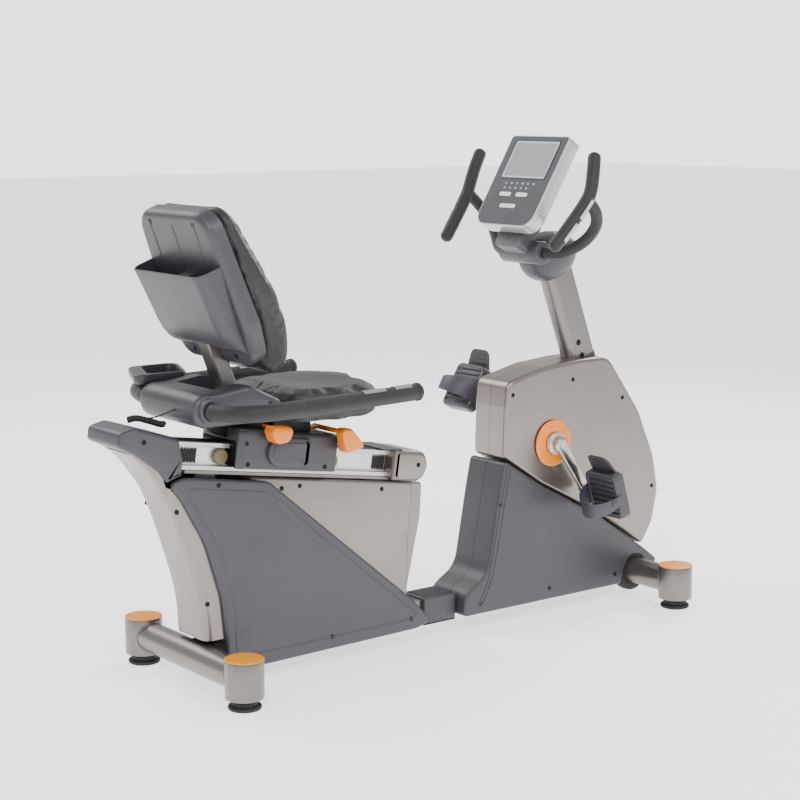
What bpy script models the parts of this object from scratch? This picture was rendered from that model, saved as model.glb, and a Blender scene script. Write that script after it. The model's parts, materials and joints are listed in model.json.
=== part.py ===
"""Recumbent exercise bike, modelled as separate pieces.

+X is the way the rider faces, +Y the rider's left, +Z up, in metres. The origin is on the floor,
in the middle of the bike's length and width. Rear pieces are placed from the rear feet, front
pieces from the front feet, and a longer FOOT_SPACING stretches the base beam between them.
"""
import math

import bpy
import bmesh
from mathutils import Matrix, Vector

# ---- driving dimensions ----
FOOT_SPACING = 1.551        # between the axes of the rear and the front feet
REAR_OVERHANG = 0.250       # rear feet to the rear end of the top cap
FRONT_OVERHANG = 0.104      # front feet to the nose of the front cover
STABILIZER_SPREAD = 0.500   # between the two end posts of a stabilizer
END_POST_RADIUS = 0.0508    # 4 inch tube
CROSS_TUBE_RADIUS = 0.0405
FOOT_RADIUS = 0.0435
WHEEL_RADIUS = 0.066
REAR_COVER_HALF = 0.085     # half width of the dark rear covers
FRONT_COVER_HALF = 0.070    # half width of the silver front covers
LOWER_COVER_HALF = 0.080    # half width of the dark front covers
COVER_WALL = 0.003
RAIL_HALF = 0.050           # half width of the rail's flanges
RAIL_HEIGHT = 0.072
RAIL_TILT = math.radians(8.6)
ROLLER_RADIUS = 0.0225
CRANK_LENGTH = 0.170
CRANK_ANGLE = math.radians(-55.5)   # right crank, below the forward horizontal
PULLEY_RADIUS = 0.110
ROTOR_RADIUS = 0.090
ROTOR_PULLEY_RADIUS = 0.022
MAST_DEPTH = 0.100
MAST_HALF = 0.030
MAST_TILT = math.radians(20.4)
SEAT_BAR_RADIUS = 0.0225
SEAT_BAR_SPREAD = 0.290     # from the middle to the side grips
YOKE_HALF = 0.140           # half width of the yoke cover
CONSOLE_BAR_RADIUS = 0.0175
CONSOLE_WIDTH = 0.245
CONSOLE_HEIGHT = 0.298
CONSOLE_DEPTH = 0.050
CONSOLE_TILT = math.radians(31.4)
BACKREST_TILT = math.radians(20.5)
BACKREST_HEIGHT = 0.490
BACKREST_HALF = 0.205
SEAT_HALF = 0.210
SEAT_DEPTH = 0.325
GAP = 0.0005                # kept between pieces that touch
RUNNING = 0.0015            # kept round pieces that turn or slide
ROUND = 16                  # sides of a large round piece
SMALL_ROUND = 10            # sides of a small one

LENGTH = REAR_OVERHANG + FOOT_SPACING + FRONT_OVERHANG
REAR_X = REAR_OVERHANG - LENGTH / 2
FRONT_X = REAR_X + FOOT_SPACING
Y_AXIS = Vector((0, 1, 0))
Z_AXIS = Vector((0, 0, 1))

# colour, roughness, metallic
DARK_PLASTIC = ("dark_plastic", (0.085, 0.088, 0.115, 1), 0.45, 0.0)
SILVER_PLASTIC = ("silver_plastic", (0.42, 0.38, 0.34, 1), 0.35, 0.6)
SILVER_STEEL = ("silver_steel", (0.36, 0.33, 0.31, 1), 0.35, 0.7)
ALUMINIUM = ("aluminium", (0.82, 0.81, 0.80, 1), 0.3, 0.9)
ORANGE = ("orange_plastic", (0.93, 0.38, 0.02, 1), 0.4, 0.0)
RUBBER = ("rubber", (0.012, 0.012, 0.012, 1), 0.8, 0.0)
FOAM = ("foam", (0.022, 0.02, 0.021, 1), 0.7, 0.0)
VINYL = ("vinyl", (0.035, 0.033, 0.036, 1), 0.5, 0.0)
PALE_PLASTIC = ("pale_plastic", (0.75, 0.75, 0.75, 1), 0.4, 0.0)
SCREEN = ("screen", (0.27, 0.28, 0.25, 1), 0.15, 0.0)
CHROME = ("chrome", (0.75, 0.74, 0.72, 1), 0.15, 1.0)

RAIL_MIDDLE = Vector((REAR_X + 0.290, 0.573))
RAIL_REAR = -0.400          # ends of the rail, along it from its middle
RAIL_FRONT = 0.365
RAIL_ALONG = Vector((math.cos(RAIL_TILT), -math.sin(RAIL_TILT)))
RAIL_UP = Vector((math.sin(RAIL_TILT), math.cos(RAIL_TILT)))
CHANNEL_HALF = ROLLER_RADIUS + RUNNING     # half height of the rail's roller channels
WEB_HALF = 0.030
BEAM_LOW = 0.050
BEAM_TOP = 0.110
BEAM_HALF = 0.035
TUBE_Z = 0.080              # height of the stabilizers' cross tubes
POST_LOW = 0.028
POST_TOP = 0.128
CAP_SEAT = 0.006            # depth of the pocket that a cap sits in
POST_WALL = 0.004
CRANK = Vector((FRONT_X - 0.346, 0, 0.518))
CRANK_OFFSET = 0.097        # inner face of a crank arm, from the middle
CRANK_THICK = 0.018
ROTOR = Vector((FRONT_X - 0.395, 0, 0.235))
MAST_FOOT = Vector((FRONT_X - 0.186, 0, 0.755))
BAR_CLAMP = Vector((FRONT_X - 0.400, 0, 1.080))   # the console bar's middle, in the head
CONSOLE_LOW = Vector((FRONT_X - 0.495, 0, 1.160))  # lower edge of the console's face
YOKE = Vector((REAR_X - 0.022, 0, 0.748))          # the seat bar's middle
HINGE = Vector((REAR_X + 0.129, 0, 0.742))         # backrest hinge
CARRIAGE_ALONG = -0.045      # middle of the carriage, along the rail from its middle
AXLE_RADIUS = 0.0125
STEM_RADIUS = 0.006
STEM_TOP = 0.075
POST_COVER_X = REAR_X + 0.728
SPINE_REAR = ((-0.203, 0.6455), (-0.150, 0.588), (-0.098, 0.500), (-0.048, 0.361),
              (-0.014, 0.235), (-0.004, 0.132))
SPLIT = ((-0.537, 0.490), (-0.388, 0.395), (-0.162, 0.278), (0.034, 0.147))  # where the two colours meet
DISC_RADIUS = 0.069
BELT_Y = 0.050
BELT_THICK = 0.004
BELT_HALF = 0.006
PEDAL_PIN = 0.0045
PEDAL_HALF = 0.050          # half width of a pedal along its pin
PEDAL_LEANS = {"left": math.radians(-30), "right": math.radians(17)}   # how far each stands back
PEDAL_OUT = CRANK_OFFSET + CRANK_THICK + 0.010 + PEDAL_HALF
MAST_TOP = 0.330
PLATE_UP = RAIL_HEIGHT / 2 + RUNNING * 2     # underside of the carriage's plate, square to the rail
CARRIAGE_HALF_LENGTH = 0.150
SEAT_UNDER = 0.690          # height of the seat cushion's flat underside
ROLLER_Y = 0.040
ROLLER_HALF = 0.008
ROLLER_ALONGS = (-0.128, 0.120)
SHELL_LOW = 0.108
SHELL_TOP = 0.525
SHELL_REAR = 0.006          # rear face of the shell's upper part, in front of the hinge line
SHELL_FRONT = 0.052
POCKET_FLOOR = 0.230
POCKET_RIM = 0.388
CUSHION_LOW = 0.044
CORD_RADIUS = 0.0065
CORD_ROUTE = ((-0.178, -0.004, 0.7235), (-0.166, -0.008, 0.7265), (-0.152, -0.012, 0.7262),
              (-0.132, -0.016, 0.7200), (-0.112, -0.018, 0.7130), (-0.094, -0.018, 0.7065),
              (-0.079, -0.014, 0.7040))
PIN_RADIUS = 0.005
PIN_ALONG = CARRIAGE_ALONG + 0.060
GROOVE_DEPTH = 0.008        # groove in the rail's top that the pin's tip runs in
GROOVE_PLAY = 0.001
GROOVE_BEHIND = 0.120       # the groove's reach behind and ahead of the pin
GROOVE_AHEAD = 0.170


# ---- modelling tools ----
def clear_scene():
    for item in list(bpy.data.objects):
        bpy.data.objects.remove(item, do_unlink=True)


def material(finish):
    name, colour, roughness, metallic = finish
    found = bpy.data.materials.get(name)
    if found:
        return found
    made = bpy.data.materials.new(name)
    made.use_nodes = True
    shader = made.node_tree.nodes["Principled BSDF"]
    shader.inputs["Base Color"].default_value = colour
    shader.inputs["Roughness"].default_value = roughness
    shader.inputs["Metallic"].default_value = metallic
    made.diffuse_color = colour
    return made


def add_object(name, shape, finish, pivot=None):
    """Turn a bmesh in world coordinates into an object whose origin is the pivot."""
    pivot = Vector(pivot or (0, 0, 0))
    bmesh.ops.translate(shape, verts=shape.verts, vec=-pivot)
    bmesh.ops.recalc_face_normals(shape, faces=shape.faces)
    mesh = bpy.data.meshes.new(name)
    shape.to_mesh(mesh)
    shape.free()
    mesh.materials.append(material(finish))
    mesh.shade_smooth()
    mesh.set_sharp_from_angle(angle=math.radians(35))
    piece = bpy.data.objects.new(name, mesh)
    piece.location = pivot
    bpy.context.collection.objects.link(piece)
    return piece


def combine(piece, other, operation):
    other.hide_render = True
    other.display_type = "WIRE"
    step = piece.modifiers.new(other.name, "BOOLEAN")
    step.operation = operation
    step.object = other


def join(piece, *others):
    for other in others:
        combine(piece, other, "UNION")
    return piece


def cut(piece, *others):
    for other in others:
        combine(piece, other, "DIFFERENCE")
    return piece


def loft(rings):
    """Skin closed rings of equal length and close both ends."""
    shape = bmesh.new()
    loops = [[shape.verts.new(point) for point in ring] for ring in rings]
    count = len(loops[0])
    for near, far in zip(loops, loops[1:]):
        for i in range(count):
            j = (i + 1) % count
            shape.faces.new((near[i], near[j], far[j], far[i]))
    shape.faces.new(loops[0])
    shape.faces.new(loops[-1])
    return shape


def rounded(corners, steps=3):
    """A flat outline from corners (a, b, radius), each rounded by an arc of its radius."""
    points = []
    count = len(corners)
    for i, (a, b, radius) in enumerate(corners):
        here = Vector((a, b))
        if radius <= 0:
            points.append(here)
            continue
        before = (Vector(corners[i - 1][:2]) - here).normalized()
        after = (Vector(corners[(i + 1) % count][:2]) - here).normalized()
        half = math.acos(max(-1.0, min(1.0, before.dot(after)))) / 2
        centre = here + (before + after).normalized() * radius / math.sin(half)
        start = here + before * radius / math.tan(half) - centre
        sweep = start.angle_signed(here + after * radius / math.tan(half) - centre)
        for k in range(steps + 1):
            turn = -sweep * k / steps
            points.append(centre + Matrix.Rotation(turn, 2) @ start)
    return points


def inset(outline, distance):
    """Move a flat outline's edges inwards by a distance, whichever way it runs."""
    count = len(outline)
    area = sum(outline[i - 1].cross(outline[i]) for i in range(count))
    side = 1 if area > 0 else -1
    moved = []
    for i, here in enumerate(outline):
        before = (here - outline[i - 1]).normalized()
        after = (outline[(i + 1) % count] - here).normalized()
        normal = Vector((-before.y - after.y, before.x + after.x)).normalized() * side
        stretch = max(0.5, normal.dot(Vector((-before.y, before.x)) * side))
        moved.append(here + normal * distance / stretch)
    return moved


def side_view(origin_x=0.0):
    """Place a flat outline (x, z) at a depth along Y, from a starting x."""
    return lambda a, b, depth: Vector((origin_x + a, depth, b))


def tilted_view(origin, tilt):
    """Place (across, up) points on a plane that leans forward by tilt, at a depth in front of it.

    Across runs along -Y (to the rider's right), up runs up the plane, and depth runs to the rider.
    """
    up = Vector((math.sin(tilt), 0, math.cos(tilt)))
    out = Vector((-math.cos(tilt), 0, math.sin(tilt)))
    return lambda a, b, depth: Vector(origin) - Y_AXIS * a + up * b + out * depth


def slab(name, outline, start, end, finish, place, edge=0.0, steps=2, pivot=None, both=True):
    """A flat outline drawn from one depth to another, with rounded edges."""
    side = 1 if end > start else -1
    layers = []
    if edge and both:
        layers += [(start + side * edge * (1 - math.cos(t)), edge * (1 - math.sin(t)))
                   for t in (k * math.pi / 2 / steps for k in range(steps))]
    layers.append((start + side * (edge if both else 0), 0.0))
    if edge:
        layers += [(end - side * edge * (1 - math.sin(t)), edge * (1 - math.cos(t)))
                   for t in (k * math.pi / 2 / steps for k in range(1, steps + 1))]
        layers.insert(len(layers) - steps, (end - side * edge, 0.0))
    else:
        layers.append((end, 0.0))
    rings = [[place(p.x, p.y, depth) for p in inset(outline, shrink)] for depth, shrink in layers]
    return add_object(name, loft(rings), finish, pivot)


def cup(name, outline, rim, closed, wall, finish, place, edge=0.0, steps=2):
    """A shell open at the rim's depth and closed at the other, with a rounded outer edge."""
    side = 1 if closed > rim else -1
    outer = [(rim, 0.0), (closed - side * edge, 0.0)] if edge else [(rim, 0.0)]
    for k in range(1, steps + 1):
        t = k * math.pi / 2 / steps
        if edge:
            outer.append((closed - side * edge * (1 - math.sin(t)), edge * (1 - math.cos(t))))
    if not edge:
        outer.append((closed, 0.0))
    inner_edge = max(edge, wall)
    inner = [(closed - side * wall, inner_edge), (closed - side * inner_edge, wall), (rim, wall)]
    if inner_edge == wall:
        inner = [(closed - side * wall, wall), (rim, wall)]
    layers = outer + inner
    rings = [[place(p.x, p.y, depth) for p in inset(outline, shrink)] for depth, shrink in layers]
    shape = bmesh.new()
    loops = [[shape.verts.new(point) for point in ring] for ring in rings]
    count = len(outline)
    split = len(outer)
    pairs = [(k, k + 1) for k in range(len(loops) - 1) if k != split - 1] + [(len(loops) - 1, 0)]
    for near, far in pairs:
        for i in range(count):
            j = (i + 1) % count
            shape.faces.new((loops[near][i], loops[near][j], loops[far][j], loops[far][i]))
    shape.faces.new(loops[split - 1])
    shape.faces.new(loops[split])
    return add_object(name, shape, finish)


def block(name, low, high, finish=SILVER_STEEL, edge=0.0, pivot=None):
    outline = [Vector(p) for p in ((low[0], low[2]), (high[0], low[2]),
                                   (high[0], high[2]), (low[0], high[2]))]
    return slab(name, outline, low[1], high[1], finish, side_view(), edge, 1, pivot)


def turned(name, profile, centre, axis, finish, sides=ROUND, pivot=None):
    """Turn (radius, height) points round an axis; a profile that ends off the axis closes up."""
    axis = Vector(axis).normalized()
    across = axis.orthogonal().normalized()
    other = axis.cross(across)
    shape = bmesh.new()
    rings = []
    for radius, height in profile:
        middle = Vector(centre) + axis * height
        if radius < 1e-6:
            rings.append([shape.verts.new(middle)])
            continue
        rings.append([shape.verts.new(middle + (across * math.cos(t) + other * math.sin(t)) * radius)
                      for t in (2 * math.pi * k / sides for k in range(sides))])
    pairs = list(zip(rings, rings[1:]))
    if len(rings[0]) > 1:
        pairs.append((rings[-1], rings[0]))
    for near, far in pairs:
        for i in range(sides):
            j = (i + 1) % sides
            corners = [near[i % len(near)], near[j % len(near)], far[j % len(far)], far[i % len(far)]]
            unique = list(dict.fromkeys(corners))
            shape.faces.new(unique)
    return add_object(name, shape, finish, pivot)


def rod(name, start, end, radius, finish, sides=SMALL_ROUND, pivot=None):
    start = Vector(start)
    span = Vector(end) - start
    profile = [(0, 0), (radius, 0), (radius, span.length), (0, span.length)]
    return turned(name, profile, start, span, finish, sides, pivot)


def ring(name, centre, axis, outer, inner, start, end, finish, sides=ROUND, pivot=None):
    profile = [(inner, start), (outer, start), (outer, end), (inner, end)]
    return turned(name, profile, centre, axis, finish, sides, pivot)


def curve_through(knots, steps):
    """Points on a smooth curve through the knots (Catmull-Rom)."""
    knots = [Vector(k) for k in knots]
    knots = [knots[0] * 2 - knots[1]] + knots + [knots[-1] * 2 - knots[-2]]
    points = []
    for a, b, c, d in zip(knots, knots[1:], knots[2:], knots[3:]):
        for k in range(steps):
            t = k / steps
            points.append((b * 2 + (c - a) * t + (a * 2 - b * 5 + c * 4 - d) * t * t
                           + (b * 3 - a - c * 3 + d) * t ** 3) / 2)
    points.append(knots[-2])
    return points


def sweep(name, path, radii, finish, sides=SMALL_ROUND, pivot=None):
    """A round bar along a path; radii is one radius, or one for each point."""
    path = [Vector(p) for p in path]
    if not isinstance(radii, (list, tuple)):
        radii = [radii] * len(path)
    tangents = [(path[min(i + 1, len(path) - 1)] - path[max(i - 1, 0)]).normalized()
                for i in range(len(path))]
    normal = tangents[0].orthogonal().normalized()
    rings = []
    for point, tangent, radius in zip(path, tangents, radii):
        normal = (normal - tangent * normal.dot(tangent)).normalized()
        side = tangent.cross(normal)
        rings.append([point + (normal * math.cos(t) + side * math.sin(t)) * radius
                      for t in (2 * math.pi * k / sides for k in range(sides))])
    return add_object(name, loft(rings), finish, pivot)


def bar(name, start, end, half_y, depth, finish=SILVER_STEEL):
    """A rectangular bar between two (x, z) points, depth wide in the side view."""
    start = Vector(start)
    end = Vector(end)
    along = (end - start).normalized()
    side = Vector((-along.y, along.x)) * depth / 2
    outline = [start - side, end - side, end + side, start + side]
    return slab(name, outline, -half_y, half_y, finish, side_view())


def shifted(corners, origin_x):
    return [(a + origin_x, b, radius) for a, b, radius in corners]


# ---- shared places ----


def rail_point(along, up):
    """(x, z) of a point given along the rail and square to it, from the rail's middle."""
    return RAIL_MIDDLE + RAIL_ALONG * along + RAIL_UP * up


def rail_view(a, b, depth):
    point = rail_point(a, b)
    return Vector((point.x, depth, point.y))


def flat(*pairs):
    return [Vector(p) for p in pairs]


# ---- base ----
def main_frame():
    rear_end = REAR_X + CROSS_TUBE_RADIUS + 0.006 + GAP
    front_end = FRONT_X - CROSS_TUBE_RADIUS - 0.006 - GAP
    frame = block("main_frame", (rear_end, -BEAM_HALF, BEAM_LOW), (front_end, BEAM_HALF, BEAM_TOP))
    rail_under = -RAIL_HEIGHT / 2 - GAP
    plate = slab("frame_rail_plate", flat((-0.330, rail_under - 0.008), (0.330, rail_under - 0.008),
                                          (0.330, rail_under + 0.004), (-0.330, rail_under + 0.004)),
                 -RAIL_HALF, RAIL_HALF, SILVER_STEEL, rail_view)
    rail_space = slab("frame_rail_space", flat((-0.450, rail_under), (0.450, rail_under),
                                               (0.450, 0.200), (-0.450, 0.200)),
                      -0.100, 0.100, SILVER_STEEL, rail_view)
    rear_top = rail_point(-0.260, rail_under - 0.006)
    front_top = rail_point(0.290, rail_under - 0.006)
    rear_leg = bar("frame_rear_leg", (REAR_X + 0.130, BEAM_TOP - 0.010), rear_top, 0.030, 0.060)
    front_leg = bar("frame_front_leg", (front_top.x, BEAM_TOP - 0.010), front_top, 0.030, 0.060)
    upright_x = FRONT_X - 0.150
    knee = MAST_FOOT - Vector((math.sin(-MAST_TILT), 0, math.cos(MAST_TILT))) * 0.085
    upright = bar("frame_upright", (upright_x, BEAM_TOP - 0.010), (knee.x, knee.z), 0.022, 0.056)
    stub_end = mast_point(0.070, 0)
    stub_start = mast_point(-0.090, 0)
    stub = bar("frame_mast_stub", (stub_start.x, stub_start.z), (stub_end.x, stub_end.z), 0.022, 0.070)
    shell = rod("frame_crank_shell", CRANK - Y_AXIS * 0.034, CRANK + Y_AXIS * 0.034, 0.028,
                SILVER_STEEL, ROUND)
    strut_top = bar("frame_strut_top", (CRANK.x, CRANK.z), (upright_x, CRANK.z + 0.090), 0.018, 0.036)
    strut_low = bar("frame_strut_low", (CRANK.x, CRANK.z), (upright_x, 0.260), 0.018, 0.036)
    bracket = slab("frame_rotor_bracket",
                   flat((ROTOR.x - 0.040, BEAM_TOP - 0.010), (ROTOR.x + 0.040, BEAM_TOP - 0.010),
                        (ROTOR.x + 0.018, ROTOR.z + 0.018), (ROTOR.x - 0.018, ROTOR.z + 0.018)),
                   -0.054, -0.046, SILVER_STEEL, side_view())
    foot = block("frame_rotor_foot", (ROTOR.x - 0.040, -0.054, BEAM_TOP - 0.020),
                 (ROTOR.x + 0.040, -BEAM_HALF + 0.006, BEAM_TOP - 0.004))
    spindle = rod("frame_rotor_spindle", ROTOR - Y_AXIS * 0.050, ROTOR + Y_AXIS * 0.060, 0.008,
                  SILVER_STEEL)
    join(frame, plate, rear_leg, front_leg, upright, stub, shell, strut_top, strut_low,
         bracket, foot, spindle)
    bore = rod("frame_crank_bore", CRANK - Y_AXIS * 0.060, CRANK + Y_AXIS * 0.060,
               AXLE_RADIUS + RUNNING, SILVER_STEEL, ROUND)
    return cut(frame, bore, rail_space)


def mast_point(up, forward):
    """A point on the mast's middle plane, up it from where it leaves the front covers."""
    lean = Vector((-math.sin(MAST_TILT), 0, math.cos(MAST_TILT)))
    ahead = Vector((math.cos(MAST_TILT), 0, math.sin(MAST_TILT)))
    return MAST_FOOT + lean * up + ahead * forward


def stabilizer(name, x, inward):
    """Cross tube with an end post at each side and a flange towards the beam."""
    tube_end = STABILIZER_SPREAD / 2 - END_POST_RADIUS * 0.62
    tube = rod(name, (x, -tube_end, TUBE_Z), (x, tube_end, TUBE_Z), CROSS_TUBE_RADIUS, SILVER_STEEL, ROUND)
    cap_radius = END_POST_RADIUS - POST_WALL
    stem_radius = STEM_RADIUS + GAP
    profile = [(0, POST_TOP - CAP_SEAT), (cap_radius, POST_TOP - CAP_SEAT), (cap_radius, POST_TOP),
               (END_POST_RADIUS, POST_TOP), (END_POST_RADIUS, POST_LOW + 0.006),
               (END_POST_RADIUS - 0.006, POST_LOW), (stem_radius, POST_LOW),
               (stem_radius, STEM_TOP + RUNNING), (0, STEM_TOP + RUNNING)]
    for side in (-1, 1):
        post = turned(f"{name}_post_{side}", profile, (x, side * STABILIZER_SPREAD / 2, 0), Z_AXIS,
                      SILVER_STEEL, ROUND)
        join(tube, post)
    inner = x + inward * (CROSS_TUBE_RADIUS - 0.015)
    outer = x + inward * (CROSS_TUBE_RADIUS + 0.006)
    flange = block(f"{name}_flange", (min(inner, outer), -BEAM_HALF, BEAM_LOW),
                   (max(inner, outer), BEAM_HALF, BEAM_TOP))
    return join(tube, flange)


def stabilizer_caps_and_feet():
    cap_radius = END_POST_RADIUS - POST_WALL - GAP
    seat = POST_TOP - CAP_SEAT + GAP
    dome = POST_TOP + 0.004
    cap = [(0, seat), (cap_radius, seat), (cap_radius, POST_TOP + GAP),
           (END_POST_RADIUS - 0.001, POST_TOP + GAP), (END_POST_RADIUS - 0.001, POST_TOP + 0.002),
           (END_POST_RADIUS - 0.012, dome), (0, dome + 0.002)]
    pad = [(0, 0), (FOOT_RADIUS - 0.004, 0), (FOOT_RADIUS, 0.005), (FOOT_RADIUS, 0.010),
           (FOOT_RADIUS - 0.008, 0.013), (FOOT_RADIUS - 0.008, 0.024), (STEM_RADIUS, 0.026),
           (STEM_RADIUS, STEM_TOP), (0, STEM_TOP)]
    for end, x in (("rear", REAR_X), ("front", FRONT_X)):
        for side, y in (("left", STABILIZER_SPREAD / 2), ("right", -STABILIZER_SPREAD / 2)):
            turned(f"stabilizer_cap_{end}_{side}", cap, (x, y, 0), Z_AXIS, ORANGE)
            turned(f"levelling_foot_{end}_{side}", pad, (x, y, 0), Z_AXIS, RUBBER,
                   SMALL_ROUND + 4, pivot=(x, y, 0))


def transport_wheels():
    inner = CROSS_TUBE_RADIUS + GAP + 0.0005
    for side, sign in (("left", 1), ("right", -1)):
        start = sign * (BEAM_HALF + 0.006)
        end = sign * (LOWER_COVER_HALF - COVER_WALL - 0.003)
        ring(f"transport_wheel_{side}", (FRONT_X, 0, TUBE_Z), Y_AXIS, WHEEL_RADIUS, inner, start, end,
             RUBBER, ROUND + 4, pivot=(FRONT_X, 0, TUBE_Z))


def seat_rail():
    top = RAIL_HEIGHT / 2
    section = flat((-RAIL_HALF, -top), (RAIL_HALF, -top), (RAIL_HALF, -CHANNEL_HALF),
                   (WEB_HALF, -CHANNEL_HALF), (WEB_HALF, CHANNEL_HALF), (RAIL_HALF, CHANNEL_HALF),
                   (RAIL_HALF, top), (-RAIL_HALF, top), (-RAIL_HALF, CHANNEL_HALF),
                   (-WEB_HALF, CHANNEL_HALF), (-WEB_HALF, -CHANNEL_HALF), (-RAIL_HALF, -CHANNEL_HALF))
    rail = slab("seat_rail", section, RAIL_REAR, RAIL_FRONT, ALUMINIUM,
                lambda a, b, depth: rail_view(depth, b, a))
    groove = slab("rail_brake_groove", flat((PIN_ALONG - GROOVE_BEHIND, top - GROOVE_DEPTH),
                                            (PIN_ALONG + GROOVE_AHEAD, top - GROOVE_DEPTH),
                                            (PIN_ALONG + GROOVE_AHEAD, top + 0.010),
                                            (PIN_ALONG - GROOVE_BEHIND, top + 0.010)),
                  -PIN_RADIUS - GROOVE_PLAY, PIN_RADIUS + GROOVE_PLAY, ALUMINIUM, rail_view)
    cut(rail, groove)
    return rail


# ---- rear covers ----
def spine_curve(points, offset=0.0):
    """Corners of the swept rear edge, from the top down, moved forward by an offset."""
    return [(REAR_X + x + offset, z, 0) for x, z in points]


def rear_spine_cover():
    """Silver channel that wraps the back of the rear covers."""
    half = REAR_COVER_HALF - 0.010
    outer = rounded(spine_curve(SPINE_REAR) + shifted([(0.120, 0.132, 0), (0.085, 0.330, 0),
                                                       (0.010, 0.480, 0), (-0.085, 0.535, 0),
                                                       (-0.118, 0.560, 0), (-0.137, 0.594, 0)], REAR_X))
    cover = slab("rear_spine_cover", outer, -half, half, SILVER_PLASTIC, side_view(), 0.008)
    inner = spine_curve(SPINE_REAR[1:], COVER_WALL + 0.004)
    room = slab("spine_room", rounded(inner + shifted([(0.010, 0.100, 0), (0.180, 0.100, 0),
                                                       (0.180, 0.700, 0), (-0.130, 0.700, 0)], REAR_X)),
                -half + COVER_WALL, half - COVER_WALL, SILVER_PLASTIC, side_view())
    return cut(cover, room)


def rear_side_covers():
    corners = [(0.0555, 0.112, 0), (0.055, 0.048, 0.010), (0.172, 0.041, 0), (0.690, 0.048, 0.010),
               (0.735, 0.066, 0), (0.672, 0.133, 0), (0.191, 0.533, 0.010), (-0.066, 0.574, 0),
               (-0.108, 0.562, 0), (-0.071, 0.512, 0), (-0.005, 0.393, 0), (0.042, 0.240, 0)]
    outline = rounded(shifted(corners, REAR_X), 2)
    for side, sign in (("left", 1), ("right", -1)):
        start = sign * (REAR_COVER_HALF - 0.010 + GAP)
        slab(f"rear_side_cover_{side}", outline, start, sign * (REAR_COVER_HALF + 0.004), DARK_PLASTIC,
             side_view(), 0.006, both=False)


def rear_top_cap():
    corners = [(-0.112, 0.566, 0), (-0.070, 0.5785, 0), (-0.064, 0.620, 0), (-0.076, 0.676, 0.014),
               (-0.200, 0.716, 0.030), (-0.245, 0.706, 0.016), (-REAR_OVERHANG, 0.672, 0),
               (-0.207, 0.650, 0), (-0.134, 0.596, 0)]
    cap = slab("rear_top_cap", rounded(shifted(corners, REAR_X)), -REAR_COVER_HALF, REAR_COVER_HALF,
               DARK_PLASTIC, side_view(), 0.010)
    clear = RAIL_HEIGHT / 2 + 0.001
    pocket = slab("cap_rail_pocket", flat((RAIL_REAR - 0.001, -clear), (RAIL_REAR + 0.2, -clear),
                                          (RAIL_REAR + 0.2, clear), (RAIL_REAR - 0.001, clear)),
                  -RAIL_HALF - 0.001, RAIL_HALF + 0.001, DARK_PLASTIC, rail_view)
    under = block("cap_under_pocket", (REAR_X - 0.160, -REAR_COVER_HALF + 0.009, 0.500),
                  (REAR_X + 0.050, REAR_COVER_HALF - 0.009, 0.645))
    return cut(cap, pocket, under)


def rail_height_at(x, up):
    """Height at a place along X of a line that runs parallel to the rail."""
    return RAIL_MIDDLE.y - (x - RAIL_MIDDLE.x) * math.tan(RAIL_TILT) + up / math.cos(RAIL_TILT)


def mid_cover():
    """Silver sleeve under the rail, closed at the front by the post cover."""
    half = REAR_COVER_HALF - 0.022
    under = -RAIL_HEIGHT / 2 - 0.012
    rear = REAR_X + 0.150
    front = POST_COVER_X
    low_front = front - 0.034
    top = [(x, rail_height_at(x, under)) for x in (front, rear)]
    outline = rounded([(rear, 0.060, 0), (low_front, 0.060, 0), (low_front, 0.133, 0),
                       (front, top[0][1] - 0.012, 0), (front - 0.012, top[0][1], 0), (*top[1], 0)])
    cover = slab("mid_cover", outline, -half, half, SILVER_PLASTIC, side_view(), 0.006)
    wall = COVER_WALL + 0.002
    room = slab("mid_room", flat((rear - 0.050, 0.010), (low_front - wall, 0.010), (low_front - wall, 0.133),
                                 (front - wall, top[0][1] - 0.010), (front - wall, 0.700),
                                 (rear - 0.050, 0.700)),
                -half + COVER_WALL, half - COVER_WALL, SILVER_PLASTIC, side_view())
    beam_room = block("mid_beam_room", (low_front - 0.050, -BEAM_HALF - 0.002, 0.0),
                      (low_front + 0.050, BEAM_HALF + 0.002, BEAM_TOP + 0.002))
    return cut(cover, room, beam_room)


def rail_end_cap():
    """Silver cap over the rail's front end, with a round nose."""
    half = REAR_COVER_HALF - 0.006
    corners = [(0.325, -0.044, 0), (0.440, -0.044, 0.030), (0.448, 0.010, 0.036),
               (0.430, 0.042, 0.022), (0.325, 0.042, 0)]
    cap = slab("rail_end_cap", rounded(corners), -half, half, SILVER_PLASTIC, rail_view, 0.006)
    clear = RAIL_HEIGHT / 2 + 0.001
    room = slab("end_cap_room", flat((0.200, -clear - 0.030), (RAIL_FRONT + 0.001, -clear - 0.030),
                                     (RAIL_FRONT + 0.001, clear), (0.200, clear)),
                -RAIL_HALF - 0.001, RAIL_HALF + 0.001, SILVER_PLASTIC, rail_view)
    return cut(cap, room)


def foot_tread():
    rear = POST_COVER_X + 0.012
    front = FRONT_X - 0.694
    low = BEAM_TOP + GAP
    tread = block("foot_tread", (rear, -0.048, 0.036), (front, 0.048, low + 0.008), DARK_PLASTIC, 0.004)
    room = block("tread_room", (rear - 0.05, -BEAM_HALF - GAP, 0.0), (front + 0.05, BEAM_HALF + GAP, low))
    cut(tread, room)
    count = max(3, round((front - rear) / 0.022))
    for k in range(count):
        x = rear + (front - rear) * (k + 0.5) / count
        cut(tread, block(f"tread_groove_{k}", (x - 0.0035, -0.042, low + 0.005),
                         (x + 0.0035, 0.042, low + 0.020)))
    return tread


# ---- front covers ----


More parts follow.
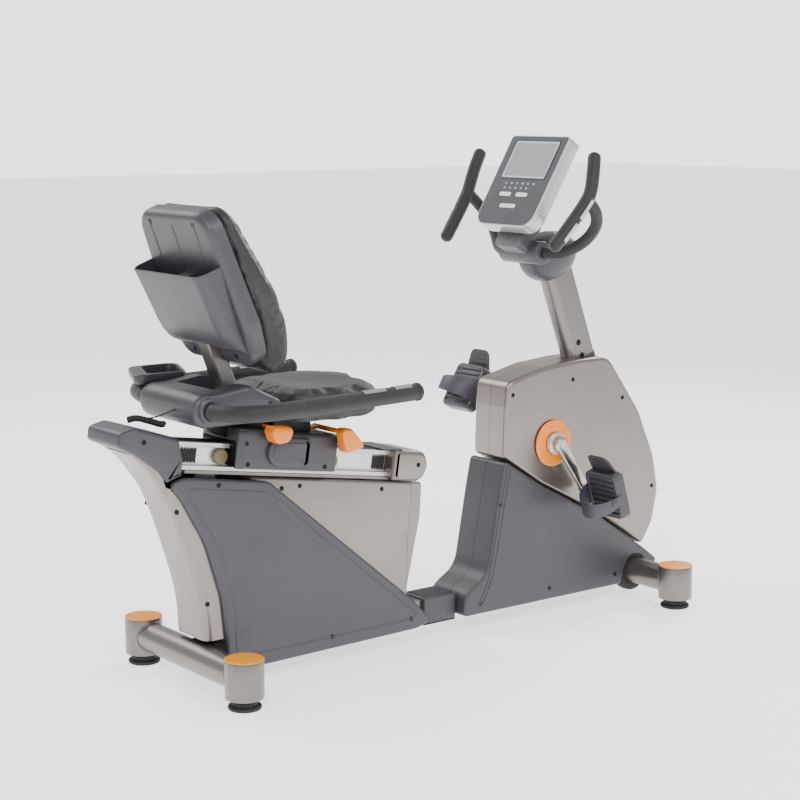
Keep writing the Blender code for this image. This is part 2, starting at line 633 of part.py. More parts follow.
def split_room(name, side, depth):
    """Cutter that opens a front cover along the line where the two colours meet."""
    tall = 0.010
    line = [(-0.537 + COVER_WALL * 2, 0.485)] + list(SPLIT[1:3]) + [(0.010, 0.164)]
    outline = [Vector((FRONT_X + x, z + tall)) for x, z in line]
    outline += [Vector((FRONT_X + x, z - tall)) for x, z in reversed(line)]
    start, end = sorted((-side * 0.010, side * depth))
    return slab(name, outline, start, end, DARK_PLASTIC, side_view())


def front_covers():
    gap = GAP * 2
    split = [(x, z + gap, 0) for x, z in reversed(SPLIT)]
    split[0] = (SPLIT[3][0] + 0.012, SPLIT[3][1] + gap, 0)
    top = [(-0.529, 0.640, 0), (-0.522, 0.712, 0.030), (-0.379, 0.745, 0.150), (-0.245, 0.756, 0),
           (-0.120, 0.757, 0.060), (0.016, 0.577, 0.250), (0.084, 0.430, 0.120),
           (FRONT_OVERHANG + 0.002, 0.320, 0.100), (0.084, 0.220, 0.080)]
    outline = rounded(shifted(top + split, FRONT_X), 3)
    for side, sign in (("left", 1), ("right", -1)):
        cover = cup(f"front_cover_{side}", outline, sign * GAP, sign * FRONT_COVER_HALF, COVER_WALL,
                    SILVER_PLASTIC, side_view(), 0.016, 2)
        crank_hole = rod(f"front_crank_hole_{side}", CRANK + Y_AXIS * sign * 0.030,
                         CRANK + Y_AXIS * sign * 0.120, 0.030, SILVER_PLASTIC, SMALL_ROUND)
        slot_low = mast_point(-0.150, 0)
        slot_high = mast_point(0.060, 0)
        mast_hole = bar(f"front_mast_hole_{side}", (slot_low.x, slot_low.z), (slot_high.x, slot_high.z),
                        MAST_HALF + GAP * 2, MAST_DEPTH + GAP * 4)
        inside = split_room(f"front_split_{side}", sign, FRONT_COVER_HALF - 0.011)
        cut(cover, crank_hole, mast_hole, inside)


def front_lower_covers():
    notch = 0.048
    arc = [(notch * math.cos(t), TUBE_Z + notch * math.sin(t), 0)
           for t in (math.pi * (1 - k / 6) for k in range(7))]
    corners = ([(-0.686, 0.046, 0.012), (-notch, 0.040, 0)] + arc
               + [(0.088, 0.080, 0), (0.092, 0.100, 0)] + [(x, z, 0) for x, z in reversed(SPLIT)])
    outline = rounded(shifted(corners, FRONT_X), 2)
    for side, sign in (("left", 1), ("right", -1)):
        cover = cup(f"front_lower_cover_{side}", outline, sign * GAP, sign * LOWER_COVER_HALF, COVER_WALL,
                    DARK_PLASTIC, side_view(), 0.010, 2)
        inside = LOWER_COVER_HALF - COVER_WALL
        low_y, high_y = sorted((-sign * 0.010, sign * (inside - 0.008)))
        belly = block(f"lower_belly_{side}", (FRONT_X - 0.700, low_y, 0.0),
                      (FRONT_X - 0.030, high_y, BEAM_TOP + 0.012))
        wheel_room = rod(f"lower_wheel_room_{side}", (FRONT_X, -sign * 0.010, TUBE_Z),
                         (FRONT_X, sign * inside, TUBE_Z), WHEEL_RADIUS + RUNNING * 2, DARK_PLASTIC, ROUND)
        crank_clear = rod(f"lower_crank_clear_{side}", CRANK + Y_AXIS * sign * 0.060,
                          CRANK + Y_AXIS * sign * 0.150, DISC_RADIUS + 0.012, DARK_PLASTIC, ROUND)
        split_gap = split_room(f"lower_split_{side}", sign, inside - 0.008)
        cut(cover, belly, wheel_room, crank_clear, split_gap)


# ---- drive ----


def crank_axle():
    """Axle with the drive pulley's disc on its left side."""
    reach = CRANK_OFFSET + CRANK_THICK + 0.002
    belt = BELT_Y
    profile = [(0, -reach), (AXLE_RADIUS - 0.003, -reach), (AXLE_RADIUS - 0.003, -CRANK_OFFSET + GAP),
               (AXLE_RADIUS, -CRANK_OFFSET + GAP), (AXLE_RADIUS, 0.038), (0.030, 0.038),
               (0.030, belt - 0.003), (PULLEY_RADIUS - 0.008, belt - 0.003),
               (PULLEY_RADIUS - 0.008, belt - 0.007), (PULLEY_RADIUS, belt - 0.007),
               (PULLEY_RADIUS, belt + 0.007), (PULLEY_RADIUS - 0.008, belt + 0.007),
               (PULLEY_RADIUS - 0.008, belt + 0.003), (0.030, belt + 0.003), (AXLE_RADIUS, belt + 0.005),
               (AXLE_RADIUS, CRANK_OFFSET - GAP), (AXLE_RADIUS - 0.003, CRANK_OFFSET - GAP),
               (AXLE_RADIUS - 0.003, reach), (0, reach)]
    turned("crank_axle", profile, CRANK, Y_AXIS, CHROME, ROUND + 4, pivot=CRANK)


def crank_side(side):
    """Sign along Y and the direction of that side's crank arm in the side view."""
    sign = 1 if side == "left" else -1
    angle = CRANK_ANGLE + (math.pi if side == "left" else 0)
    return sign, Vector((math.cos(angle), 0, math.sin(angle)))


def crank_arms():
    for side in ("left", "right"):
        sign, along = crank_side(side)
        up = Vector((-along.z, 0, along.x))

        def arm_view(a, b, depth, along=along, up=up):
            return CRANK + along * a + up * b + Y_AXIS * depth

        width = 0.0165
        tip = 0.0135
        outline = ([Vector((width * math.cos(t), width * math.sin(t)))
                    for t in (math.pi / 2 + math.pi * k / 6 for k in range(7))]
                   + [Vector((CRANK_LENGTH + tip * math.cos(t), tip * math.sin(t)))
                      for t in (-math.pi / 2 + math.pi * k / 6 for k in range(7))])
        start = sign * CRANK_OFFSET
        end = sign * (CRANK_OFFSET + CRANK_THICK)
        arm = slab(f"crank_arm_{side}", outline, start, end, CHROME, arm_view, 0.003, pivot=CRANK)
        hub = turned(f"crank_hub_{side}", [(0, 0), (0.024, 0), (0.032, 0.008), (0.032, 0.014), (0, 0.014)],
                     CRANK + Y_AXIS * sign * (CRANK_OFFSET - 0.013), Y_AXIS * sign, CHROME, ROUND)
        join(arm, hub)
        bore = rod(f"crank_bore_{side}", CRANK + Y_AXIS * sign * 0.060, CRANK + Y_AXIS * sign * 0.140,
                   AXLE_RADIUS + 0.001, CHROME, ROUND + 4)
        eye = rod(f"pedal_eye_{side}", pedal_centre(side, -0.090), pedal_centre(side, -0.050),
                  PEDAL_PIN + RUNNING, CHROME, SMALL_ROUND)
        cut(arm, bore, eye)
        turned(f"crank_disc_{side}", [(0.034, 0.0), (DISC_RADIUS, 0.0), (DISC_RADIUS, 0.005),
                                      (DISC_RADIUS - 0.007, 0.009), (0.034, 0.006)],
               CRANK + Y_AXIS * sign * (FRONT_COVER_HALF + 0.001), Y_AXIS * sign, ORANGE, ROUND + 4,
               pivot=CRANK)


def pedal_centre(side, offset=0.0):
    sign, along = crank_side(side)
    return CRANK + along * CRANK_LENGTH + Y_AXIS * sign * (PEDAL_OUT + offset)


def pedals():
    """Footbed across the pin, a heel plate above it, and a strap loop on the rider's side."""
    for side in ("left", "right"):
        sign = crank_side(side)[0]
        centre = pedal_centre(side)
        lean = PEDAL_LEANS[side]
        up = Vector((-math.sin(lean), 0, math.cos(lean)))
        back = Vector((-math.cos(lean), 0, -math.sin(lean)))

        def pedal_view(a, b, depth, centre=centre, up=up, back=back, sign=sign):
            return centre + up * a + back * b + Y_AXIS * sign * depth

        bed = slab(f"pedal_{side}", rounded([(-0.052, -0.016, 0.006), (0.052, -0.016, 0.006),
                                             (0.052, 0.014, 0), (-0.052, 0.014, 0)], 2),
                   -PEDAL_HALF, PEDAL_HALF, DARK_PLASTIC, pedal_view, 0.004, 1, pivot=centre)
        plate = slab(f"pedal_plate_{side}",
                     flat((0.040, -0.012), (0.092, 0.008), (0.090, 0.014), (0.040, -0.004)),
                     -PEDAL_HALF + 0.012, PEDAL_HALF - 0.012, DARK_PLASTIC, pedal_view)
        join(bed, plate)
        for k in range(4):
            a = -0.034 + k * 0.022
            cut(bed, slab(f"pedal_groove_{side}_{k}", flat((a, 0.010), (a + 0.008, 0.010),
                                                           (a + 0.008, 0.030), (a, 0.030)),
                          -PEDAL_HALF + 0.008, PEDAL_HALF - 0.008, DARK_PLASTIC, pedal_view))
        loop = strap_loop(f"pedal_strap_{side}", pedal_view)
        join(bed, loop)
        join(bed, rod(f"pedal_pin_{side}", pedal_centre(side, -PEDAL_HALF - 0.027), pedal_centre(side, 0.0),
                      PEDAL_PIN, CHROME, SMALL_ROUND))


def strap_loop(name, view):
    """A band from one side of the footbed to the other, wide inboard and narrow outboard."""
    steps = 10
    thick = 0.003
    rings = []
    for k in range(steps + 1):
        turn = math.pi * k / steps
        across = -(PEDAL_HALF + 0.0015) * math.cos(turn)
        out = 0.006 + 0.062 * math.sin(turn) ** 0.8
        width = 0.026 - 0.014 * k / steps
        middle = -0.006 - 0.010 * math.sin(turn)
        inner_across = across - math.copysign(thick, across) if k in (0, steps) else across
        inner_across *= 0.965
        inner_out = out - thick * math.sin(turn)
        rings.append([view(middle - width, out, across), view(middle + width, out, across),
                      view(middle + width, inner_out, inner_across),
                      view(middle - width, inner_out, inner_across)])
    return add_object(name, loft(rings), DARK_PLASTIC)


def drive_belt():
    """Belt round both pulleys: outer hull of two circles less the inner one."""
    def hull(extra):
        big = PULLEY_RADIUS + extra
        small = ROTOR_PULLEY_RADIUS + extra
        span = Vector((ROTOR.x - CRANK.x, ROTOR.z - CRANK.z))
        lean = math.atan2(span.y, span.x)
        tangent = math.acos((big - small) / span.length)
        points = []
        for k in range(17):
            t = lean + tangent + (2 * math.pi - 2 * tangent) * k / 16
            points.append(Vector((CRANK.x + big * math.cos(t), CRANK.z + big * math.sin(t))))
        for k in range(7):
            t = lean - tangent + 2 * tangent * k / 6
            points.append(Vector((ROTOR.x + small * math.cos(t), ROTOR.z + small * math.sin(t))))
        return points

    clearance = 0.0012
    outer = hull(clearance + BELT_THICK)
    inner = hull(clearance)
    shape = bmesh.new()
    rings = [[shape.verts.new(Vector((p.x, y, p.y))) for p in points]
             for points, y in ((outer, BELT_Y - BELT_HALF), (outer, BELT_Y + BELT_HALF),
                               (inner, BELT_Y + BELT_HALF), (inner, BELT_Y - BELT_HALF))]
    for near, far in zip(rings, rings[1:] + rings[:1]):
        for i in range(len(outer)):
            j = (i + 1) % len(outer)
            shape.faces.new((near[i], near[j], far[j], far[i]))
    add_object("drive_belt", shape, RUBBER)


def generator_rotor():
    """Steel flywheel with its small pulley, turning on the frame's spindle."""
    bore = 0.008 + RUNNING
    profile = [(bore, -0.034), (0.022, -0.034), (0.022, -0.010), (ROTOR_RADIUS - 0.014, -0.010),
               (ROTOR_RADIUS - 0.014, -0.030), (ROTOR_RADIUS, -0.030), (ROTOR_RADIUS, 0.026),
               (ROTOR_RADIUS - 0.014, 0.026), (ROTOR_RADIUS - 0.014, 0.006),
               (ROTOR_PULLEY_RADIUS, 0.006), (ROTOR_PULLEY_RADIUS, 0.058), (bore, 0.058)]
    turned("generator_rotor", profile, ROTOR, Y_AXIS, SILVER_STEEL, ROUND + 4, pivot=ROTOR)


# ---- mast and console ----
def mast():
    """Tube with a round rear edge, bolted over the frame's stub."""
    tube = slab("mast", mast_outline(), -0.050, MAST_TOP, SILVER_STEEL, mast_view)
    room = slab("mast_room", mast_outline(-0.003), -0.080, MAST_TOP - 0.020, SILVER_STEEL, mast_view)
    bar_room = rod("mast_bar_room", BAR_CLAMP - Y_AXIS * 0.1, BAR_CLAMP + Y_AXIS * 0.1,
                   CONSOLE_BAR_RADIUS + GAP * 2, SILVER_STEEL, ROUND)
    return cut(tube, room, bar_room)


def mast_view(a, b, depth):
    """(forward, left, up the mast) from where the mast leaves the front covers."""
    return mast_point(depth, a) + Y_AXIS * b


def mast_outline(grow=0.0):
    half_depth = MAST_DEPTH / 2 + grow
    half = MAST_HALF + grow
    return rounded([(-half_depth, -half, MAST_HALF - 0.004), (half_depth, -half, 0.012),
                    (half_depth, half, 0.012), (-half_depth, half, MAST_HALF - 0.004)], 3)


def head_cover():
    """Dark clamshell round the mast's top, with a socket each side and a neck up to the console."""
    levels = ((-0.064, 0.034, 0.026), (-0.052, 0.060, 0.044), (-0.030, 0.080, 0.058), (0.000, 0.090, 0.066),
              (0.030, 0.084, 0.066), (0.054, 0.060, 0.052), (0.068, 0.030, 0.030))
    rings = [[mast_view(-0.008 + long * math.cos(t), wide * math.sin(t), MAST_TOP + up)
              for t in (2 * math.pi * k / ROUND for k in range(ROUND))] for up, long, wide in levels]
    ball = add_object("head_cover", loft(rings), DARK_PLASTIC)
    reach = 0.082
    sockets = rod("head_sockets", BAR_CLAMP - Y_AXIS * reach, BAR_CLAMP + Y_AXIS * reach, 0.034,
                  DARK_PLASTIC, ROUND)
    neck = slab("head_neck", rounded([(-0.052, -0.040, 0.014), (0.052, -0.040, 0.014),
                                      (0.044, 0.165, 0.020), (-0.044, 0.165, 0.020)], 2),
                -CONSOLE_DEPTH - GAP, -CONSOLE_DEPTH - 0.048, DARK_PLASTIC, console_view(), 0.010,
                both=False)
    join(ball, sockets, neck)
    hole = rod("head_bar_hole", BAR_CLAMP - Y_AXIS * 0.2, BAR_CLAMP + Y_AXIS * 0.2,
               CONSOLE_BAR_RADIUS + 0.003, DARK_PLASTIC, ROUND)
    mast_room = slab("head_mast_room", mast_outline(0.001), 0.150, MAST_TOP + 0.002, DARK_PLASTIC,
                     mast_view)
    return cut(ball, hole, mast_room)


def console_view():
    return tilted_view(CONSOLE_LOW, CONSOLE_TILT)


def console_outline(shrink=0.0, low_round=0.045, top_round=0.012):
    half = CONSOLE_WIDTH / 2 - shrink
    return rounded([(-half, shrink, low_round), (half, shrink, low_round),
                    (half * 1.02, CONSOLE_HEIGHT - shrink, top_round),
                    (-half * 1.02, CONSOLE_HEIGHT - shrink, top_round)], 4)


def console_parts():
    view = console_view()
    face_depth = 0.004
    housing = slab("console_housing", console_outline(), -CONSOLE_DEPTH, 0.0, SILVER_PLASTIC, view,
                   0.008, 2)
    pocket = slab("console_pocket", console_outline(0.012, 0.036, 0.006), -face_depth - GAP, 0.020,
                  SILVER_PLASTIC, view)
    hollow = slab("console_hollow", console_outline(0.020, 0.030, 0.006), -CONSOLE_DEPTH + 0.004, 0.020,
                  SILVER_PLASTIC, view)
    cut(housing, pocket, hollow)
    face = slab("console_face", console_outline(0.012 + GAP, 0.036, 0.006), -face_depth, 0.0005,
                DARK_PLASTIC, view)
    screen_half = 0.086
    screen_low, screen_high = 0.163, 0.272
    window = slab("face_window", flat((-screen_half, screen_low), (screen_half, screen_low),
                                      (screen_half, screen_high), (-screen_half, screen_high)),
                  -0.020, 0.020, DARK_PLASTIC, view)
    cut(face, window)
    half, low, high = screen_half - GAP, screen_low + GAP, screen_high - GAP
    slab("lcd_screen", flat((-half, low), (half, low), (half, high), (-half, high)),
         -0.010, -0.0015, SCREEN, view)
    keys = (("left", -0.040, 0.102, 0.024), ("right", 0.030, 0.102, 0.024),
            ("bottom", -0.008, 0.064, 0.033))
    for name, a, b, half in keys:
        radius = 0.0065

        def key_outline(grow, a=a, b=b, half=half):
            size = radius + grow
            right = [Vector((a + half - radius + size * math.cos(t), b + size * math.sin(t)))
                     for t in (-math.pi / 2 + math.pi * k / 4 for k in range(5))]
            left = [Vector((a - half + radius + size * math.cos(t), b + size * math.sin(t)))
                    for t in (math.pi / 2 + math.pi * k / 4 for k in range(5))]
            return right + left

        cut(face, slab(f"key_hole_{name}", key_outline(GAP), -0.020, 0.020, DARK_PLASTIC, view))
        slab(f"console_key_{name}", key_outline(0), -0.0035, 0.0025, PALE_PLASTIC, view, 0.001, 1,
             both=False, pivot=view(a, b, 0))


def console_handlebar():
    """Bar through the head; each end curves up into the middle of a bent upright grip."""
    half_reach = 0.262
    turn_x = BAR_CLAMP.x
    z = BAR_CLAMP.z
    right = [(turn_x, 0.0, z), (turn_x, -0.090, z), (turn_x + 0.022, -0.140, z + 0.006),
             (turn_x + 0.052, -0.190, z + 0.036), (turn_x + 0.062, -0.228, z + 0.080),
             (turn_x + 0.040, -0.252, z + 0.122), (turn_x + 0.004, -half_reach + 0.004, z + 0.158)]
    path = [Vector(p) for p in right]
    whole = [Vector((p.x, -p.y, p.z)) for p in reversed(path[1:])] + path
    middle = sweep("console_handlebar", curve_through(whole, 3), CONSOLE_BAR_RADIUS, FOAM, SMALL_ROUND)
    for sign in (-1, 1):
        grip = [(turn_x - 0.100, sign * 0.237, z + 0.036), (turn_x - 0.066, sign * 0.245, z + 0.076),
                (turn_x - 0.008, sign * 0.258, z + 0.150), (turn_x + 0.010, sign * half_reach, z + 0.186),
                (turn_x + 0.024, sign * 0.256, z + 0.236), (turn_x + 0.036, sign * 0.247, z + 0.276)]
        radius = CONSOLE_BAR_RADIUS + 0.0015
        join(middle, sweep(f"console_grip_{sign}", curve_through(grip, 2), radius, FOAM, SMALL_ROUND))
    return middle


# ---- seat ----


def seat_carriage():
    """Steel channel over the rail with its seat pedestal and the rear arm of the yoke."""
    low = CARRIAGE_ALONG - CARRIAGE_HALF_LENGTH
    high = CARRIAGE_ALONG + CARRIAGE_HALF_LENGTH
    inner = RAIL_HALF + 0.004
    outer = inner + 0.004
    plate = slab("seat_carriage", flat((low, PLATE_UP), (high, PLATE_UP), (high, PLATE_UP + 0.006),
                                       (low, PLATE_UP + 0.006)), -outer, outer, SILVER_STEEL, rail_view)
    for sign in (-1, 1):
        start, end = sorted((sign * inner, sign * outer))
        join(plate, slab(f"carriage_cheek_{sign}", flat((low, -0.014), (high, -0.014),
                                                        (high, PLATE_UP + 0.003), (low, PLATE_UP + 0.003)),
                         start, end, SILVER_STEEL, rail_view))
        for along in ROLLER_ALONGS:
            centre = rail_view(CARRIAGE_ALONG + along, 0, 0)
            join(plate, rod(f"roller_stub_{sign}_{along}", centre + Y_AXIS * sign * (WEB_HALF + 0.001),
                            centre + Y_AXIS * sign * (inner + 0.002), 0.005, SILVER_STEEL, 8))
    top_low = rail_point(CARRIAGE_ALONG - 0.020, PLATE_UP + 0.003)
    pedestal = slab("seat_pedestal",
                    flat((top_low.x, top_low.y), (top_low.x + 0.118, top_low.y - 0.018),
                         (top_low.x + 0.118, SEAT_UNDER - GAP), (top_low.x, SEAT_UNDER - GAP)),
                    -0.048, 0.048, SILVER_STEEL, side_view())
    rear = rail_point(low + 0.020, PLATE_UP)
    arm = slab("yoke_arm", flat((rear.x, rear.y + 0.001), (rear.x + 0.130, rear.y - 0.017),
                                (HINGE.x + 0.062, 0.716), (HINGE.x + 0.062, 0.740),
                                (HINGE.x + 0.040, 0.742), (HINGE.x + 0.040, 0.722),
                                (HINGE.x - 0.050, 0.714), (YOKE.x + 0.010, YOKE.z - 0.010),
                                (YOKE.x - 0.004, YOKE.z - 0.006), (YOKE.x - 0.004, YOKE.z - 0.034)),
               -0.030, 0.030, SILVER_STEEL, side_view())
    saddle = rod("yoke_saddle", YOKE - Y_AXIS * 0.036, YOKE + Y_AXIS * 0.036, SEAT_BAR_RADIUS + 0.006,
                 SILVER_STEEL, ROUND)
    join(plate, pedestal, arm, saddle)
    bar_bore = rod("yoke_bar_bore", YOKE - Y_AXIS * 0.100, YOKE + Y_AXIS * 0.100, SEAT_BAR_RADIUS + GAP * 2,
                   SILVER_STEEL, ROUND)
    hinge_ears = [slab(f"hinge_ear_{sign}",
                       rounded([(HINGE.x - 0.022, 0.700, 0), (HINGE.x + 0.022, 0.700, 0),
                                (HINGE.x + 0.018, HINGE.z + 0.018, 0.012),
                                (HINGE.x - 0.018, HINGE.z + 0.018, 0.012)], 2),
                       *sorted((sign * 0.0285, sign * 0.0345)), SILVER_STEEL, side_view())
                  for sign in (-1, 1)]
    hinge_room = block("hinge_room", (HINGE.x - 0.042, -0.0285, 0.706), (HINGE.x + 0.036, 0.0285, 0.800))
    pin_guide = rod("pin_guide", rail_view(PIN_ALONG, PLATE_UP - 0.010, 0), rail_view(PIN_ALONG, 0.140, 0),
                    PIN_RADIUS + 0.0008, SILVER_STEEL, SMALL_ROUND)
    join(plate, *hinge_ears)
    cut(plate, bar_bore, hinge_room, pin_guide, lever_room())
    hinge_pin = rod("backrest_hinge_pin", HINGE - Y_AXIS * 0.033, HINGE + Y_AXIS * 0.033, 0.006,
                    SILVER_STEEL, SMALL_ROUND)
    return join(plate, hinge_pin)


def lever_room():
    """Slot in the pedestal for the pin's head and the lever's fork."""
    low = rail_point(PIN_ALONG - 0.016, PLATE_UP + 0.008)
    return block("lever_room", (low.x, -0.020, low.y), (low.x + 0.400, 0.020, SEAT_UNDER - 0.004))


def rail_rollers():
    for sign, side in ((1, "left"), (-1, "right")):
        for along, end in zip(ROLLER_ALONGS, ("rear", "front")):
            centre = rail_view(CARRIAGE_ALONG + along, 0, sign * ROLLER_Y)
            ring(f"rail_roller_{end}_{side}", centre, Y_AXIS, ROLLER_RADIUS, 0.005 + GAP * 2, -ROLLER_HALF,
                 ROLLER_HALF, PALE_PLASTIC, SMALL_ROUND + 4, pivot=centre)


def lock_pin():
    """Spring pin through the carriage: its tip brakes on the floor of the rail's groove."""
    start = rail_view(PIN_ALONG, RAIL_HEIGHT / 2 - GROOVE_DEPTH + 0.0005, 0)
    up = (rail_view(0, 1, 0) - rail_view(0, 0, 0)).normalized()
    profile = [(0, 0), (PIN_RADIUS, 0), (PIN_RADIUS, 0.023), (0.010, 0.023), (0.010, 0.026), (0, 0.026)]
    turned("lock_pin", profile, start, up, CHROME, SMALL_ROUND, pivot=start)


def carriage_cover():
    """Dark cover on both sides of the carriage, joined across the top."""
    low = CARRIAGE_ALONG - 0.158
    high = CARRIAGE_ALONG + 0.162
    half = REAR_COVER_HALF + 0.002
    outline = rounded([(low, -0.024, 0.008), (high, -0.024, 0.016), (high, 0.060, 0.014),
                       (high - 0.030, 0.078, 0.010), (low + 0.020, 0.078, 0.030),
                       (low, 0.060, 0.010)], 3)
    cover = slab("carriage_cover", outline, -half, half, DARK_PLASTIC, rail_view, 0.006)
    for sign in (-1, 1):
        centre_a = CARRIAGE_ALONG + 0.016
        boss = slab(f"cover_boss_{sign}",
                    [Vector((centre_a - 0.030 + 0.038 * math.cos(t), 0.026 + 0.036 * math.sin(t)))
                     for t in (math.pi / 2 + math.pi * k / 8 for k in range(9))]
                    + flat((centre_a + 0.048, -0.010), (centre_a + 0.048, 0.062)),
                    sign * (half - 0.010), sign * (half + 0.012), DARK_PLASTIC, rail_view, 0.004, 1,
                    both=False)
        join(cover, boss)
    inner = half - COVER_WALL
    room = slab("carriage_room", flat((low - 0.050, -0.060), (high + 0.050, -0.060),
                                      (high + 0.050, 0.074), (low - 0.050, 0.074)),
                -inner, inner, DARK_PLASTIC, rail_view)
    bridge = CARRIAGE_ALONG + 0.108
    top_slot = slab("carriage_top_slot", flat((low - 0.050, 0.058), (bridge, 0.058), (bridge, 0.110),
                                              (low - 0.050, 0.110)), -0.056, 0.056, DARK_PLASTIC, rail_view)
    end_plates = [slab(f"carriage_end_{k}", flat((a, -0.020), (a + 0.003, -0.020), (a + 0.003, 0.075),
                                                 (a, 0.075)), -inner - 0.001, inner + 0.001,
                       DARK_PLASTIC, rail_view)
                  for k, a in enumerate((low + 0.0005, high - 0.0035))]
    cut(cover, room)
    join(cover, *end_plates)
    rail_room = slab("carriage_rail_room", flat((low - 0.050, -0.060), (high + 0.050, -0.060),
                                                (high + 0.050, 0.060), (low - 0.050, 0.060)),
                     -0.0605, 0.0605, DARK_PLASTIC, rail_view)
    return cut(cover, rail_room, top_slot)


LEVER_PIVOT = rail_point(CARRIAGE_ALONG + 0.150, 0.088)


def seat_lever():
    """Orange paddle at the front that lifts the lock pin."""
    x, z = LEVER_PIVOT
    pivot = Vector((x, 0, z))
    hub = rod("seat_lever", (x, -0.100, z), (x, 0.016, z), 0.007, ORANGE, SMALL_ROUND, pivot=pivot)
    paddle = slab("lever_paddle", rounded([(x - 0.010, z + 0.010, 0.006), (x + 0.016, z + 0.006, 0.006),
                                           (x + 0.066, z - 0.048, 0.010), (x - 0.002, z - 0.056, 0.008)], 2),
                  -0.122, -0.098, ORANGE, side_view(), 0.004, 1)
    pin_x = rail_point(PIN_ALONG, 0).x
    fork = slab("lever_fork", flat((x, z - 0.005), (x, z + 0.005), (pin_x + 0.014, z + 0.006),
                                   (pin_x + 0.014, z + 0.001)), -0.016, 0.016, ORANGE, side_view())
    return join(hub, paddle, fork)


RECLINE_PIVOT = rail_point(CARRIAGE_ALONG - 0.064, 0.088)


def recline_lever():
    """Orange cupped lever below the right side of the seat."""
    x, z = RECLINE_PIVOT
    pivot = Vector((x, 0, z))
    stem = rod("recline_lever", (x, -0.132, z), (x, -0.052, z), 0.005, ORANGE, SMALL_ROUND, pivot=pivot)
    outline = rounded([(x - 0.034, z + 0.010, 0.007), (x + 0.040, z + 0.002, 0.007),
                       (x + 0.022, z - 0.028, 0.012), (x - 0.014, z - 0.032, 0.012)], 3)
    grip = slab("recline_grip", outline, -0.150, -0.096, ORANGE, side_view(), 0.005, 1)
    return join(stem, grip)


def seat_cushion():
    """Plain closed solid of the seat pad's outer shape."""
    rear = REAR_X + 0.209
    front = rear + SEAT_DEPTH
    half = SEAT_HALF
    outline = rounded([(rear, -half * 0.80, 0.050), (rear + 0.150, -half, 0.080),
                       (front - 0.020, -half * 0.92, 0.090), (front, 0, 0.200),
                       (front - 0.020, half * 0.92, 0.090), (rear + 0.150, half, 0.080),
                       (rear, half * 0.80, 0.050)], 3)
    slab("seat_cushion", outline, SEAT_UNDER, 0.784, VINYL, lambda a, b, depth: Vector((a, b, depth)),
         0.020, 2)


def seat_handlebar():
    """U-shaped bar behind the seat with a padded grip along each side."""
    z = YOKE.z
    spread = SEAT_BAR_SPREAD
    side = [(YOKE.x, -0.060, z), (YOKE.x, -YOKE_HALF - 0.012, z), (YOKE.x, -YOKE_HALF - 0.040, z),
            (YOKE.x + 0.022, -spread + 0.040, z + 0.004), (YOKE.x + 0.085, -spread + 0.004, z + 0.007),
            (YOKE.x + 0.200, -spread, z + 0.008), (YOKE.x + 0.400, -spread, z + 0.012),
            (YOKE.x + 0.572, -spread, z + 0.016)]
    right = [Vector(side[0])] + curve_through(side[1:], 2)
    whole = [Vector((p.x, -p.y, p.z)) for p in reversed(right)] + right
    return sweep("seat_handlebar", whole, SEAT_BAR_RADIUS, FOAM, SMALL_ROUND + 2)


def yoke_cover():
    """Dark housing round the seat bar's middle that widens forward to the seat."""
    x = YOKE.x
    z = YOKE.z
    half = YOKE_HALF
    corners = [(x - 0.040, z - 0.020, 0.020), (x - 0.040, z + 0.022, 0.022), (x - 0.004, z + 0.041, 0.020),
               (x + 0.124, z + 0.052, 0.020), (x + 0.222, z + 0.004, 0), (x + 0.228, z - 0.012, 0),
               (x + 0.124, z - 0.046, 0.012), (x - 0.010, z - 0.046, 0.020)]
    outline = rounded(corners, 3)
    cover = slab("yoke_cover", outline, -half, half, DARK_PLASTIC, side_view(), 0.010, 2)
    room = slab("yoke_room", inset(outline, 0.004), -half + 0.004, half - 0.004, DARK_PLASTIC, side_view())
    under = block("yoke_under", (x - 0.005, -half + 0.012, 0.600), (x + 0.200, half - 0.012, z - 0.030))
    front = block("yoke_front", (x + 0.150, -half + 0.014, 0.600), (x + 0.300, half - 0.014, 0.760))
    slot = block("yoke_post_slot", (HINGE.x - 0.110, -0.033, z), (HINGE.x + 0.050, 0.033, 0.850))
    bar_hole = rod("yoke_bar_hole", YOKE - Y_AXIS * 0.200, YOKE + Y_AXIS * 0.200, SEAT_BAR_RADIUS + GAP * 2,
                   DARK_PLASTIC, ROUND)
    return cut(cover, room, under, front, slot, bar_hole)


